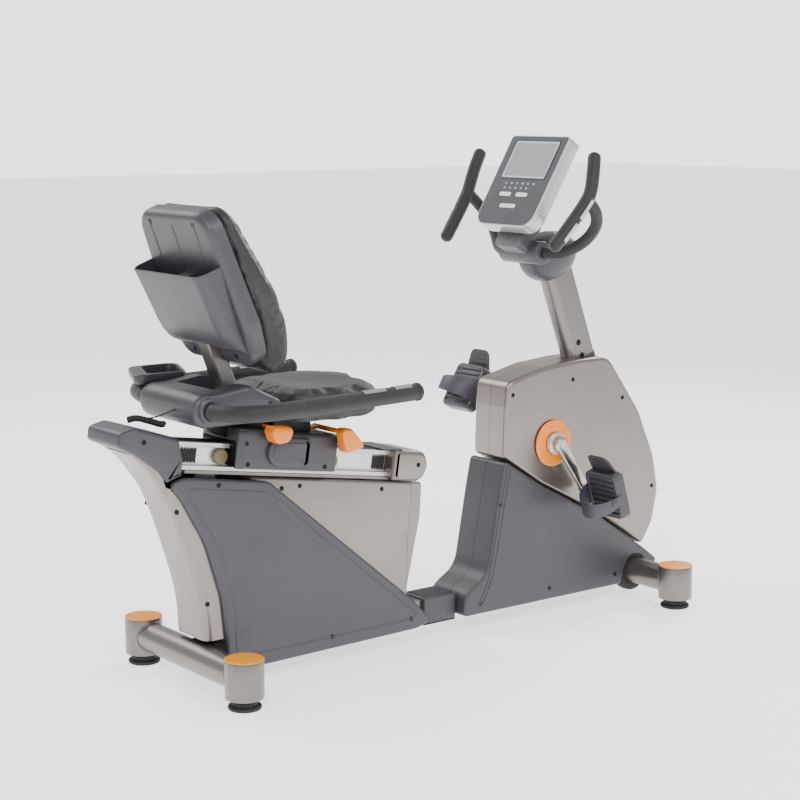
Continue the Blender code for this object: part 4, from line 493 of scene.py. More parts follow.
studio = {
    "world": ("#ffffff", 0.80),
    "seen": 2.6,
    "floorGlow": 1.25,
    "lights": (
        # place, aimed at, size, power
        ((-3.4, -3.6, 3.8), (0.0, 0.0, 0.5), 2.6, 120),
        ((0.6, -3.4, 3.4), (0.2, 0.0, 0.6), 2.4, 70),
        ((3.6, 1.2, 3.0), (0.2, 0.0, 0.6), 2.4, 90),
        ((-1.2, 3.2, 3.6), (0.0, 0.0, 0.4), 2.8, 80),
    ),
}
world = bpy.data.worlds.new("studio")
bpy.context.scene.world = world
world.use_nodes = True
world.node_tree.nodes["Background"].inputs[0].default_value = toLinear(studio["world"][0])
# the backdrop is seen brighter than it lights the room: strength = lit + (seen - lit) x camera ray
lightPath = addNode(world, "ShaderNodeLightPath")
strength = addNode(world, "ShaderNodeMapRange", {"To Min": studio["world"][1], "To Max": studio["seen"]},
                   {"Value": (lightPath, "Is Camera Ray")})
world.node_tree.links.new(strength.outputs[0], world.node_tree.nodes["Background"].inputs[1])
for number, (place, aim, size, power) in enumerate(studio["lights"]):
    lamp = bpy.data.objects.new(f"softbox_{number}", bpy.data.lights.new(f"softbox_{number}", "AREA"))
    bpy.context.scene.collection.objects.link(lamp)
    lamp.data.shape = "DISK"
    lamp.data.size = size
    lamp.data.energy = power
    lamp.location = place
    lamp.rotation_mode = "QUATERNION"
    lamp.rotation_quaternion = (Vector(aim) - Vector(place)).to_track_quat("-Z", "Y")
floorMesh = bpy.data.meshes.new("floor")
floorMesh.from_pydata([(-30, -30, 0), (30, -30, 0), (30, 30, 0), (-30, 30, 0)], [], [(0, 1, 2, 3)])
floor = bpy.data.objects.new("floor", floorMesh)
bpy.context.scene.collection.objects.link(floor)
floorFinish, floorShader = startMaterial("paleFloor", Roughness=0.85)
floorShader.inputs["Base Color"].default_value = toLinear("#f4f4f4")
floorShader.inputs["Emission Color"].default_value = toLinear("#ffffff")
floorShader.inputs["Emission Strength"].default_value = studio["floorGlow"]
floorMesh.materials.append(floorFinish)
floor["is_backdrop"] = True
print("camera, light and floor set")


# Every CAD node gets its finish first; the pieces below replace the ones that show most
nodeFinish = {
    "powderCoat": ("main_frame", "rear_stabilizer", "front_stabilizer", "mast", "backrest_post"),
    "blackOxide": ("seat_carriage",),
    "champagnePaint": ("rear_spine_cover", "mid_cover", "rail_end_cap", "front_cover_left",
                       "front_cover_right"),
    "brightSilverPaint": ("console_housing",),
    "texturedAbs": ("rear_side_cover_left", "rear_side_cover_right", "rear_top_cap", "foot_tread",
                    "front_lower_cover_left", "front_lower_cover_right", "head_cover", "carriage_cover",
                    "yoke_cover", "cup_holder", "backrest_shell"),
    "pedalPvc": ("pedal_left", "pedal_right"),
    "consoleAbs": ("console_face",),
    "orangeAbs": ("crank_disc_left", "crank_disc_right", "seat_lever", "recline_lever"),
    "amberNylon": tuple(f"stabilizer_cap_{e}_{s}" for e in ("rear", "front") for s in ("left", "right")),
    "mouldedRubber": ("transport_wheel_left", "transport_wheel_right", "drive_belt", "sensor_cord",
                      *(f"levelling_foot_{e}_{s}" for e in ("rear", "front") for s in ("left", "right"))),
    "anodisedRail": ("seat_rail",),
    "platedSteel": ("crank_axle", "crank_arm_left", "crank_arm_right", "lock_pin", "generator_rotor"),
    "foamSleeve": ("console_handlebar", "seat_handlebar"),
    "leathercloth": ("seat_cushion", "backrest_cushion"),
    "lcdGlass": ("lcd_screen",),
    "whiteAbs": ("console_key_left", "console_key_right", "console_key_bottom"),
    "castNylon": tuple(f"rail_roller_{e}_{s}" for e in ("rear", "front") for s in ("left", "right")),
}
for finish, names in nodeFinish.items():
    for name in names:
        node = frame["nodes"][name]
        node.data.materials.clear()
        node.data.materials.append(made[finish])
print("CAD nodes finished")


# Base: stabilizers, caps, feet, wheels
base = {"tubeRadius": 0.0405, "tubeHeight": 0.080, "postRadius": 0.0508, "postLow": 0.028, "postTop": 0.128,
        "footRadius": 0.0432, "wheelRadius": 0.066, "weld": 0.0035}


def stabilizerShape(x):
    # cross tube, an upright post at each end with a weld bead between them, and a flange for the beam
    r, z = base["tubeRadius"], base["tubeHeight"]
    big, low, top = base["postRadius"], base["postLow"], base["postTop"]
    parts = [turned([(0, -0.215), (r, -0.215), (r, 0.215), (0, 0.215)], (x, 0, z), (0, 1, 0), 64)]
    post = [(0.0065, low + 0.03), (0.0065, low), (big - 0.004, low), (big - 0.001, low + 0.0012),
            (big, low + 0.004), (big, top - 0.003), (big - 0.0008, top - 0.0008), (big - 0.003, top),
            (big - 0.005, top), (big - 0.005, top - 0.005), (0, top - 0.005), (0, low + 0.03)]
    t = np.linspace(0, 2 * math.pi, 96, endpoint=False)
    for side in (-1, 1):
        y = side * postY
        parts.append(ringShape(post, (x, y, 0), (0, 0, 1), 72))
        # weld bead: it lies where the tube meets the post, at the depth where both surfaces cross
        reach = np.sqrt(np.maximum(big ** 2 - (r * np.cos(t)) ** 2, 0))
        bead = np.stack([x + r * np.cos(t), y - side * reach, z + r * np.sin(t)], 1)
        ripple = base["weld"] * (1 + 0.18 * np.sin(t * 48))
        parts.append(loopTube(bead, ripple, 10))
    return together(parts)


def loopTube(path, radius, sides=12):
    # circles square to a closed path
    tangent = np.roll(path, -1, 0) - np.roll(path, 1, 0)
    tangent /= np.linalg.norm(tangent, axis=1, keepdims=True)
    outward = path - path.mean(0)
    first = outward - tangent * (outward * tangent).sum(1, keepdims=True)
    first /= np.linalg.norm(first, axis=1, keepdims=True)
    second = np.cross(tangent, first)
    t = np.linspace(0, 2 * math.pi, sides, endpoint=False)
    radius = np.broadcast_to(np.asarray(radius, float), (len(path),))
    circle = first[:, None] * np.cos(t)[None, :, None] + second[:, None] * np.sin(t)[None, :, None]
    return gridShape(path[:, None] + circle * radius[:, None, None], closeRows=True)


for end, x in (("rear", rearX), ("front", frontX)):
    inward = 1 if end == "rear" else -1
    flange = layered(arcLoop([(0.024, 0.052, 0.004), (0.0455, 0.052, 0.004), (0.0455, 0.108, 0.004),
                              (0.024, 0.108, 0.004)], 3),
                     roundEdge(-0.034, 0.034, 0.002, 2),
                     planeView((x, 0, 0), (inward, 0, 0), (0, 0, 1), (0, 1, 0)))
    makePiece(f"{end}StabilizerTubes", together([stabilizerShape(x), flange]), "powderCoat", "frame",
              [f"{end}_stabilizer"])
    for side in ("left", "right"):
        y = postY if side == "left" else -postY
        big, top = base["postRadius"], base["postTop"]
        arc = np.linspace(0, math.pi / 2, 8)
        dome = [(0, top - 0.004), (big - 0.006, top - 0.004), (big - 0.006, top + 0.0006),
                (big - 0.0002, top + 0.0006), (big + 0.0002, top + 0.0022)]
        dome += [(big * math.cos(k), top + 0.0022 + 0.0038 * math.sin(k))
                 for k in arc[1:-1]] + [(0, top + 0.0060)]
        makePiece(f"postCap_{end}_{side}", turned(dome, (x, y, 0), (0, 0, 1), 72), "amberNylon", "frame",
                  [f"stabilizer_cap_{end}_{side}"])
        foot = base["footRadius"]
        pad = [(0, 0.0), (foot - 0.006, 0.0), (foot - 0.002, 0.0010), (foot, 0.0035), (foot, 0.0085),
               (foot - 0.0015, 0.0105), (foot - 0.006, 0.0115), (foot - 0.0085, 0.0125),
               (foot - 0.0085, 0.0215),
               (foot - 0.0105, 0.0238), (foot - 0.016, 0.0250), (0.012, 0.0255), (0.0115, 0.0262),
               (0.0056, 0.0265), (0.0056, 0.060), (0, 0.060)]
        makePiece(f"rubberFoot_{end}_{side}", turned(pad, (x, y, 0), (0, 0, 1), 64), "mouldedRubber",
                  f"levelling_foot_{end}_{side}", [f"levelling_foot_{end}_{side}"])
for side, sign in (("left", 1), ("right", -1)):
    low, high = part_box(f"transport_wheel_{side}")
    middle, half = (low[1] + high[1]) / 2, (high[1] - low[1]) / 2
    r = base["wheelRadius"] - 0.0006
    tread = [(0.0418, -half), (r - 0.012, -half), (r - 0.005, -half + 0.001), (r - 0.001, -half + 0.005),
             (r, -half + 0.010), (r, half - 0.010), (r - 0.001, half - 0.005), (r - 0.005, half - 0.001),
             (r - 0.012, half), (0.0418, half)]
    makePiece(f"rollingWheel_{side}", ringShape(tread, (frontX, middle, base["tubeHeight"]), (0, 1, 0), 64),
              "mouldedRubber", f"transport_wheel_{side}", [f"transport_wheel_{side}"])
print("base made")

# Rail: thin double lips, a recessed web, a dark wear strip on top, thin ribbed pads in both channel ends
rail = {"rear": -0.400, "front": 0.365, "half": 0.050, "height": 0.072, "channel": 0.0240, "web": 0.030}


def railSection():
    # one lip's outline (a = along y, b = up) with a ridge on its edge, mirrored to the other three
    half, top, channel, web = rail["half"], rail["height"] / 2, rail["channel"], rail["web"]
    lip = [(web, -channel), (half - 0.0015, -channel), (half, -channel - 0.0015), (half, -channel - 0.0040),
           (half - 0.0022, -channel - 0.0048), (half - 0.0022, -channel - 0.0062), (half, -channel - 0.0070),
           (half, -top + 0.0015), (half - 0.0015, -top)]
    lowerLeft = [(-a, b) for a, b in lip[::-1]]
    upperLeft = [(-a, -b) for a, b in lip]
    upperRight = [(a, -b) for a, b in lip[::-1]]
    return np.array(lip + lowerLeft + upperLeft + upperRight)


def stretchAlong(section, start, end, view):
    # one closed section (y, up) carried along the rail
    grid = np.stack([view(np.full(len(section), along), section[:, 1], section[:, 0])
                     for along in (start, start + 0.0006, end - 0.0006, end)])
    return gridShape(grid)


makePiece("railExtrusion", stretchAlong(railSection(), rail["rear"], rail["front"], railView), "anodisedRail",
          "frame", ["seat_rail"], 25)
strip = layered(arcLoop([(rail["rear"] + 0.04, -0.034, 0.002), (rail["front"] - 0.002, -0.034, 0.002),
                         (rail["front"] - 0.002, 0.034, 0.002), (rail["rear"] + 0.04, 0.034, 0.002)], 3),
                [(0.0361, 0.0), (0.0370, 0.0), (0.0374, 0.0006)], lambda a, b, d: railView(a, d, b))
makePiece("railWearStrip", strip, "mouldedRubber", "frame")
pads = {"rear": (0.062, 0.112), "front": (-0.085, -0.040), "ribs": 5, "halfHeight": 0.020,
        "backHeight": 0.016}
bumpers = []
for sign in (-1, 1):
    for end in ("rear", "front"):
        start, stop = rail[end] + pads[end][0], rail[end] + pads[end][1]
        pitch, tall, short = (stop - start) / pads["ribs"], pads["halfHeight"], pads["backHeight"]
        for k in range(pads["ribs"]):
            low = start + pitch * k + 0.0006
            high = start + pitch * k + pitch - 0.0012
            rib = arcLoop([(low, -tall, 0.002), (high, -tall, 0.002), (high, tall, 0.002),
                           (low, tall, 0.002)], 3)
            bumpers.append(layered(rib, [(sign * 0.0290, 0.0), (sign * 0.0306, 0.0), (sign * 0.0311, 0.0005)],
                                   railView))
        back = arcLoop([(start, -short, 0.002), (stop - 0.001, -short, 0.002), (stop - 0.001, short, 0.002),
                        (start, short, 0.002)], 3)
        bumpers.append(layered(back, [(sign * 0.0290, 0.0), (sign * 0.0303, 0.0)], railView))
makePiece("railBumpers", together(bumpers), "mouldedRubber", "frame")
print("rail made")


# Rear covers
rearSide = [(0.0555, 0.112), (0.055, 0.048), (0.172, 0.041), (0.690, 0.048), (0.735, 0.066), (0.672, 0.133),
            (0.191, 0.533), (-0.066, 0.574), (-0.108, 0.562), (-0.071, 0.512), (-0.005, 0.393),
            (0.042, 0.240)]
rearRadii = [0.004, 0.010, 0.30, 0.20, 0.020, 0.06, 0.05, 0.20, 0.012, 0.10, 0.25, 0.25]
rearCover = {"half": 0.0890, "wall": 0.0030, "edge": 0.0075, "depth": 0.0135}


def softCorners(outline, radii):
    # each radius is held to what its corner's two edges have room for
    outline = np.array(outline, float)
    before = np.linalg.norm(np.roll(outline, 1, 0) - outline, axis=1)
    after = np.linalg.norm(np.roll(outline, -1, 0) - outline, axis=1)
    back = (np.roll(outline, 1, 0) - outline) / before[:, None]
    ahead = (np.roll(outline, -1, 0) - outline) / after[:, None]
    half = np.arccos(np.clip((back * ahead).sum(1), -0.99999, 0.99999)) / 2
    room = np.minimum(before, after) * 0.47 * np.tan(half)
    return [(a, b, r) for (a, b), r in zip(outline, np.minimum(radii, room))]


rearLoop = arcLoop(softCorners(rearSide, rearRadii), 8, 0.0110)
for side, sign in (("left", 1), ("right", -1)):
    half = rearCover["half"]
    shell = coverShape(rearLoop, sign * (half - rearCover["depth"]), sign * half, rearCover["wall"],
                       rearCover["edge"], sideView)
    # raised field behind the diagonal: its front edge runs parallel to the cover's own sloping edge
    field = arcLoop(softCorners([(0.082, 0.075), (0.660, 0.079), (0.690, 0.090), (0.640, 0.126),
                                 (0.183, 0.507),
                                 (-0.050, 0.545), (-0.062, 0.530), (0.036, 0.372), (0.078, 0.220)],
                                [0.02, 0.10, 0.01, 0.05, 0.05, 0.05, 0.01, 0.2, 0.2]), 6)
    fieldShape = layered(field, [(sign * (half - 0.001), -0.0016), (sign * (half + 0.0002), -0.0012),
                                 (sign * (half + 0.0012), 0.0), (sign * (half + 0.0012), 0.0022),
                                 (sign * (half - 0.0002), 0.0036), (sign * (half - 0.001), 0.0036)],
                         sideView, closeRows=True)
    plate = arcLoop([(0.2005, 0.4745, 0.004), (0.2245, 0.4795, 0.004), (0.3845, 0.3275, 0.004),
                     (0.3715, 0.3150, 0.004)], 5)
    plateShape = layered(plate, [(sign * (half - 0.001), 0.0), (sign * (half + 0.0006), 0.0),
                                 (sign * (half + 0.0011), 0.0008)], sideView)
    makePiece(f"rearSideCover_{side}", together([shell, fieldShape, plateShape]), "texturedAbs", "frame",
              [f"rear_side_cover_{side}"], 32)
addSideScrews("frame", rearCover["half"], ((0.0345, 0.543), (0.3885, 0.079), (0.6615, 0.081),
                                           (0.2285, 0.510)))

spineRear = [(-0.203, 0.6455), (-0.150, 0.588), (-0.098, 0.500), (-0.048, 0.361), (-0.014, 0.235),
             (-0.004, 0.132)]
spineFront = [(-0.110, 0.640), (-0.118, 0.566), (-0.085, 0.535), (0.010, 0.480), (0.085, 0.330),
              (0.120, 0.132)]
spine = {"half": 0.075, "edge": 0.024, "wall": 0.003}


def spineShape():
    # section across the bike at each height: flat sides whose rear corners are quarter circles
    rear = throughKnots(spineRear, 12)
    front = throughKnots(spineFront, 12)
    front = np.stack([np.interp(np.linspace(0, 1, len(rear)), np.linspace(0, 1, len(front)), front[:, k])
                      for k in (0, 1)], 1)
    half, edge, wall = spine["half"], spine["edge"], spine["wall"]
    t = np.linspace(0, math.pi / 2, 8)
    rows = []
    for shrink in (0.0, wall):
        y = np.concatenate([[-half + shrink], -(half - edge) - (edge - shrink) * np.cos(t),
                            (half - edge) + (edge - shrink) * np.sin(t), [half - shrink]])
        fraction = np.concatenate([[1.0], np.zeros(len(t)), np.zeros(len(t)), [1.0]])
        cut = np.concatenate([[0.0], edge - (edge - shrink) * np.sin(t), edge - (edge - shrink) * np.cos(t),
                              [0.0]])
        rows.append((y, fraction, cut))
    (outerY, outerF, outerCut), (innerY, innerF, innerCut) = rows
    y = np.concatenate([outerY, innerY[::-1]])
    f = np.concatenate([outerF, innerF[::-1]])
    cut = np.concatenate([outerCut, innerCut[::-1]])
    point = rear[:, None] * (1 - f)[None, :, None] + front[:, None] * f[None, :, None]
    lean = rear[:, None] - front[:, None]
    lean = -lean / np.linalg.norm(lean, axis=2, keepdims=True)
    point = point + lean * (cut * (1 - f))[None, :, None]
    grid = np.stack([rearX + point[..., 0], np.broadcast_to(y, point.shape[:2]), point[..., 1]], -1)
    return gridShape(grid)


makePiece("spineCover", spineShape(), "champagnePaint", "frame", ["rear_spine_cover"])
addSideScrews("frame", spine["half"], ((-0.0825, 0.486), (0.0035, 0.232)))

topCapSize = {"half": 0.085, "edge": 0.011}
capLoop = arcLoop([(-0.112, 0.566, 0.004), (-0.070, 0.5785, 0.004), (-0.064, 0.620, 0.004),
                   (-0.076, 0.676, 0.014),
                   (-0.200, 0.716, 0.030), (-0.245, 0.706, 0.016), (-0.250, 0.672, 0.012),
                   (-0.207, 0.650, 0.010), (-0.134, 0.596, 0.030)], 8)
topCap = layered(capLoop, roundEdge(-topCapSize["half"], topCapSize["half"], topCapSize["edge"], 7), sideView)
makePiece("topCap", topCap, "texturedAbs", "frame", ["rear_top_cap"])
addSideScrews("frame", topCapSize["half"], ((-0.1785, 0.678),))


# Middle cover under the rail, with its own rounded front edge, and the post cover set in ahead of it
def railUnder(x, up=-0.048):
    # height of the line parallel to the rail: z = middle - (x - middle) tan(tilt) + up / cos(tilt)
    return railMiddle[2] - (x - railMiddle[0]) * math.tan(railTilt) + up / math.cos(railTilt)


middleCover = {"panelHalf": 0.063, "panelEdge": 0.007, "postHalf": 0.053, "postEdge": 0.006}
midLoop = arcLoop([(0.150, 0.520, 0.004), (0.150, railUnder(rearX + 0.150), 0.004),
                   (0.686, railUnder(rearX + 0.686), 0.016), (0.672, 0.300, 0.06), (0.668, 0.134, 0.010),
                   (0.640, 0.134, 0.004), (0.200, 0.510, 0.004)], 8)
midPanel = layered(midLoop, roundEdge(-middleCover["panelHalf"], middleCover["panelHalf"],
                                      middleCover["panelEdge"], 6),
                   sideView)
postLoop = arcLoop([(0.600, 0.120, 0.004), (0.602, railUnder(rearX + 0.602), 0.004),
                    (0.728, railUnder(rearX + 0.728), 0.012), (0.722, 0.360, 0.10), (0.672, 0.150, 0.05),
                    (0.668, 0.060, 0.006), (0.640, 0.060, 0.004)], 8)
postCover = layered(postLoop, roundEdge(-middleCover["postHalf"], middleCover["postHalf"],
                                        middleCover["postEdge"], 6),
                    sideView)
makePiece("midCover", together([midPanel, postCover]), "champagnePaint", "frame", ["mid_cover"])
addSideScrews("frame", middleCover["panelHalf"], ((0.3035, 0.503), (0.5775, 0.459)))
addSideScrews("frame", middleCover["postHalf"], ((0.6555, 0.253),))

endCapSize = {"half": 0.079, "edge": 0.014}
capSide = arcLoop([(0.325, -0.044, 0.006), (0.430, -0.044, 0.034), (0.448, 0.000, 0.030),
                   (0.430, 0.042, 0.030), (0.325, 0.042, 0.006)], 8)
endCap = layered(capSide, roundEdge(-endCapSize["half"], endCapSize["half"], endCapSize["edge"], 8), railView)
makePiece("endCap", endCap, "champagnePaint", "frame", ["rail_end_cap"])
addSideScrews("frame", endCapSize["half"], ((0.6935, 0.515),))


def apronView(a, b, d):
    # dark apron on the rail: past 0.30 m along the rail it rises by 6 % towards the cap
    return railView(a, d + np.maximum(a - 0.30, 0) * 0.06, b)


apron = layered(arcLoop([(0.288, -0.068, 0.004), (0.352, -0.074, 0.004), (0.352, 0.074, 0.004),
                         (0.288, 0.068, 0.004)], 4),
                [(0.0384, 0.0), (0.0406, 0.0), (0.0416, 0.001)], apronView)
makePiece("endCapApron", apron, "texturedAbs", "frame")

treadRear, treadFront = rearX + 0.740, frontX - 0.694
treadSize = {"half": 0.048, "low": 0.036, "top": 0.1180, "ribs": 9, "ribPitch": 0.009, "ribHalf": 0.0028}
treadLoop = arcLoop([(treadRear, treadSize["low"], 0.003), (treadFront, treadSize["low"], 0.003),
                     (treadFront, treadSize["top"], 0.008), (treadRear, treadSize["top"], 0.008)], 5)
tread = [layered(treadLoop, roundEdge(-treadSize["half"], treadSize["half"], 0.006, 5), worldSide)]
for k in range(treadSize["ribs"]):
    # lengthwise ribs, spread evenly about the middle
    y, wide = treadSize["ribPitch"] * (k - (treadSize["ribs"] - 1) / 2), treadSize["ribHalf"]
    rib = arcLoop([(treadRear + 0.006, y - wide, 0.0026), (treadFront - 0.006, y - wide, 0.0026),
                   (treadFront - 0.006, y + wide, 0.0026), (treadRear + 0.006, y + wide, 0.0026)], 4)
    tread.append(layered(rib, [(treadSize["top"] - 0.0005, 0.0), (treadSize["top"] + 0.0010, 0.0),
                               (treadSize["top"] + 0.0020, 0.0012)], planView))
makePiece("footTread", together(tread), "texturedAbs", "frame", ["foot_tread"])
print("rear covers made")


# Front covers
splitLine = [(-0.537, 0.490), (-0.388, 0.395), (-0.162, 0.278), (0.034, 0.147)]
frontTop = [(-0.529, 0.640, 0.02), (-0.522, 0.712, 0.03), (-0.379, 0.745, 0.15), (-0.245, 0.756, 0.2),
            (-0.120, 0.757, 0.06), (0.016, 0.577, 0.25), (0.084, 0.430, 0.12), (0.106, 0.320, 0.10),
            (0.084, 0.220, 0.08)]


def withCorners(entries, least):
    outline = [(a, b) for a, b, r in entries]
    return arcLoop(softCorners(outline, [r for a, b, r in entries]), 8, least)


upperLoop = withCorners([(splitLine[0][0] + 0.004, splitLine[0][1] + 0.004, 0.004)]
                        + [(a + 0.002, b + 0.004, 0.3) for a, b in splitLine[1:3]]
                        + [(splitLine[3][0] + 0.006, splitLine[3][1] + 0.006, 0.004)] + frontTop[::-1],
                        0.0155)
lowerLoop = withCorners([(-0.686, 0.046, 0.012), (-0.056, 0.044, 0.012), (-0.048, 0.090, 0.02),
                         (-0.020, 0.128, 0.03), (0.020, 0.128, 0.03), (0.050, 0.092, 0.02),
                         (0.056, 0.068, 0.012),
                         (0.090, 0.080, 0.012), (0.094, 0.104, 0.012), (0.036, 0.147, 0.012),
                         (-0.162, 0.278, 0.3), (-0.388, 0.395, 0.3), (-0.537, 0.488, 0.006),
                         (-0.556, 0.400, 0.05), (-0.600, 0.160, 0.08), (-0.686, 0.110, 0.06)], 0.0125)
front = {"silverHalf": 0.0700, "darkHalf": 0.0800, "wall": 0.003, "silverEdge": 0.012, "darkEdge": 0.009,
         "seam": 0.0006}
for side, sign in (("left", 1), ("right", -1)):
    silver = coverShape(upperLoop, sign * front["seam"], sign * front["silverHalf"], front["wall"],
                        front["silverEdge"], frontView, 8)
    makePiece(f"frontCover_{side}", silver, "champagnePaint", "frame", [f"front_cover_{side}"])
    dark = coverShape(lowerLoop, sign * front["seam"], sign * front["darkHalf"], front["wall"],
                      front["darkEdge"], frontView, 7)
    # two beads follow the cover's sloping rear edge, 14 mm apart
    beads = []
    for shift in (0.010, 0.024):
        path = throughKnots([(frontX - 0.538 + shift, sign * 0.0795, 0.466),
                             (frontX - 0.556 + shift, sign * 0.0795, 0.385),
                             (frontX - 0.585 + shift, sign * 0.0795, 0.240),
                             (frontX - 0.606 + shift, sign * 0.0795, 0.150),
                             (frontX - 0.640 + shift, sign * 0.0795, 0.080)], 10)
        beads.append(endedTube(path, 0.0030, 12, hint=(0, 1, 0), dome=1.5))
    dark = together([dark, *beads])
    makePiece(f"frontLowerCover_{side}", dark, "texturedAbs", "frame", [f"front_lower_cover_{side}"])
addSideScrews("frame", front["silverHalf"], ((1.0490, 0.675), (1.2850, 0.699), (1.4910, 0.625),
                                             (1.6260, 0.335)))
addSideScrews("frame", front["darkHalf"], ((0.9990, 0.359), (0.9230, 0.079), (1.1920, 0.080),
                                           (1.4640, 0.080)))
print("front covers made")

# Seat carriage cover and its two orange levers
def sideways(a, b, d):  # section (y, up) laid at depth along the rail
    return railView(d, b, a)


carriage = {"rear": -0.203, "front": 0.117, "low": -0.024, "top": 0.078, "half": 0.0868, "wall": 0.0115}
half, inner = carriage["half"], carriage["half"] - carriage["wall"]
low, top, roof = carriage["low"], carriage["top"], carriage["top"] - 0.036
archLoop = arcLoop([(half, low, 0.004), (half, top, 0.014), (-half, top, 0.014), (-half, low, 0.004),
                    (-inner, low, 0.003), (-inner, roof, 0.003), (inner, roof, 0.003), (inner, low, 0.003)],
                   6)
arch = layered(archLoop, roundEdge(carriage["rear"], carriage["front"], 0.0045, 5), sideways)
lips = []
for along in (carriage["rear"] + 0.010, carriage["rear"] + 0.020):
    lips.append(layered(archLoop, [(along, 0.0), (along + 0.0008, -0.0010), (along + 0.0042, -0.0010),
                                   (along + 0.0050, 0.0)], sideways))
boss = []
for sign in (-1, 1):
    outline = arcLoop([(0.019, -0.014, 0.007), (0.019, 0.064, 0.007), (-0.111, 0.064, 0.038),
                       (-0.111, -0.014, 0.038)], 12)
    boss.append(layered(insetLoop(outline, 0.014), [(sign * 0.0980, -0.0016), (sign * 0.0990, -0.0010),
                                                    (sign * 0.1004, 0.0), (sign * 0.1008, 0.0014)], railView))
    boss.append(layered(outline, [(sign * 0.086, 0.0), (sign * 0.0945, 0.0), (sign * 0.0965, 0.0006),
                                  (sign * 0.0980, 0.0022), (sign * 0.0988, 0.0045)], railView))
makePiece("carriageCover", together([arch, *lips, *boss]), "texturedAbs", "carriage", ["carriage_cover"],
          32)
addSideScrews("carriage", carriage["half"], ((0.1225, 0.641), (0.1245, 0.586), (0.3685, 0.550)))

rollers = []
for sign in (-1, 1):
    for along in (-0.221, 0.134):
        rollers.append(turned([(0, -0.007), (0.0180, -0.007), (0.0200, -0.005), (0.0200, 0.005),
                               (0.0180, 0.007), (0.007, 0.007), (0.0065, 0.0085), (0, 0.0085)],
                              railView(along, 0.0, sign * 0.0395), (0, sign, 0), 40))
makePiece("guideRollers", together(rollers), "castNylon", "carriage")

leverX, leverZ = rearX + 0.4070, 0.6443
paddle = arcLoop([(leverX - 0.016, leverZ + 0.012, 0.011), (leverX + 0.018, leverZ + 0.010, 0.012),
                  (leverX + 0.066, leverZ - 0.046, 0.010), (leverX - 0.002, leverZ - 0.056, 0.012)], 6)
makePiece("seatLeverPaddle", together([
    layered(paddle, roundEdge(-0.138, -0.098, 0.008, 6), worldSide),
    turned([(0, -0.100), (0.0068, -0.100), (0.0068, 0.016), (0, 0.016)], (leverX, 0, leverZ), (0, 1, 0), 24),
]), "orangeAbs", "seat_lever", ())

reclineX, reclineZ = rearX + 0.1953, 0.6763
cup = arcLoop([(reclineX - 0.037, reclineZ + 0.012, 0.014), (reclineX + 0.041, reclineZ + 0.004, 0.014),
               (reclineX + 0.025, reclineZ - 0.035, 0.022), (reclineX - 0.020, reclineZ - 0.038, 0.022)], 8)
cupShape = layered(cup, roundEdge(-0.097, -0.150, 0.013, 8), worldSide)
makePiece("reclineGrip", together([
    cupShape, turned([(0, -0.126), (0.0048, -0.126), (0.0048, -0.052), (0, -0.052)], (reclineX, 0, reclineZ),
                     (0, 1, 0), 24)]), "orangeAbs", "recline_lever", ["recline_lever"])
print("carriage cover and levers made")


# Seat bar with foam sleeves, yoke cover, cup holder
yokeX, yokeZ = rearX - 0.022, 0.748
grip = {"barRadius": 0.0158, "foamRadius": 0.0222}
barSide = [(0.0, 0.060, 0.0), (0.0, 0.152, 0.0), (0.0, 0.180, 0.0), (0.022, 0.250, 0.004),
           (0.085, 0.286, 0.007), (0.200, 0.290, 0.008), (0.400, 0.290, 0.012), (0.545, 0.290, 0.0155)]
seatBar = []
for sign in (-1, 1):
    path = throughKnots([(yokeX + x, sign * y, yokeZ + z) for x, y, z in barSide], 10)
    seatBar.append(endedTube(path[12:], grip["foamRadius"], 32, dome=0.62))
    seatBar.append(tube(path[:14], grip["barRadius"], 24))
    # end collar, 12 mm long and 1.8 mm proud of the sleeve
    endWay = (path[-1] - path[-2]) / np.linalg.norm(path[-1] - path[-2])
    seatBar.append(ringShape([(0.0205, 0.0), (0.0228, 0.0), (0.0240, 0.0015), (0.0240, 0.0105),
                              (0.0228, 0.012), (0.0205, 0.012)], path[-1] - 0.009 * endWay, endWay, 40))
makePiece("seatBar", together(seatBar), "foamSleeve", "carriage", ["seat_handlebar"])

yokeLoop = arcLoop([(-0.0415, -0.0455, 0.038), (-0.0415, 0.0420, 0.038), (0.030, 0.0420, 0.060),
                    (0.124, 0.054, 0.040),
                    (0.222, 0.006, 0.017), (0.228, -0.018, 0.017), (0.124, -0.0455, 0.040)], 10)
yokeSize = {"half": 0.140, "middle": 0.088, "edge": 0.016, "roundRadius": 0.0410}
yokeView = planeView((yokeX, 0, yokeZ), (1, 0, 0), (0, 0, 1), (0, 1, 0))
yoke = [layered(yokeLoop, roundEdge(sign * yokeSize["middle"], sign * yokeSize["half"], yokeSize["edge"], 7,
                                    both=False), yokeView)
        for sign in (-1, 1)]
rearLoopYoke = arcLoop([(-0.0415, -0.0455, 0.038), (-0.0415, 0.0420, 0.038), (0.050, 0.0430, 0.004),
                        (0.050, -0.0450, 0.004)], 10)
yoke.append(layered(rearLoopYoke, [(-0.089, 0.0), (0.089, 0.0)], yokeView))
collar = [(0.0226, 0.136), (0.0226, 0.1525), (0.0245, 0.1535), (0.0300, 0.1530), (0.0325, 0.1510),
          (0.0332, 0.136)]
for sign in (-1, 1):
    yoke.append(ringShape([(r, sign * d) for r, d in collar], (yokeX, 0, yokeZ), (0, 1, 0), 48))
makePiece("yokeHousing", together(yoke), "texturedAbs", "carriage", ["yoke_cover"])
addSideScrews("carriage", yokeSize["half"], ((0.1615, 0.748),))


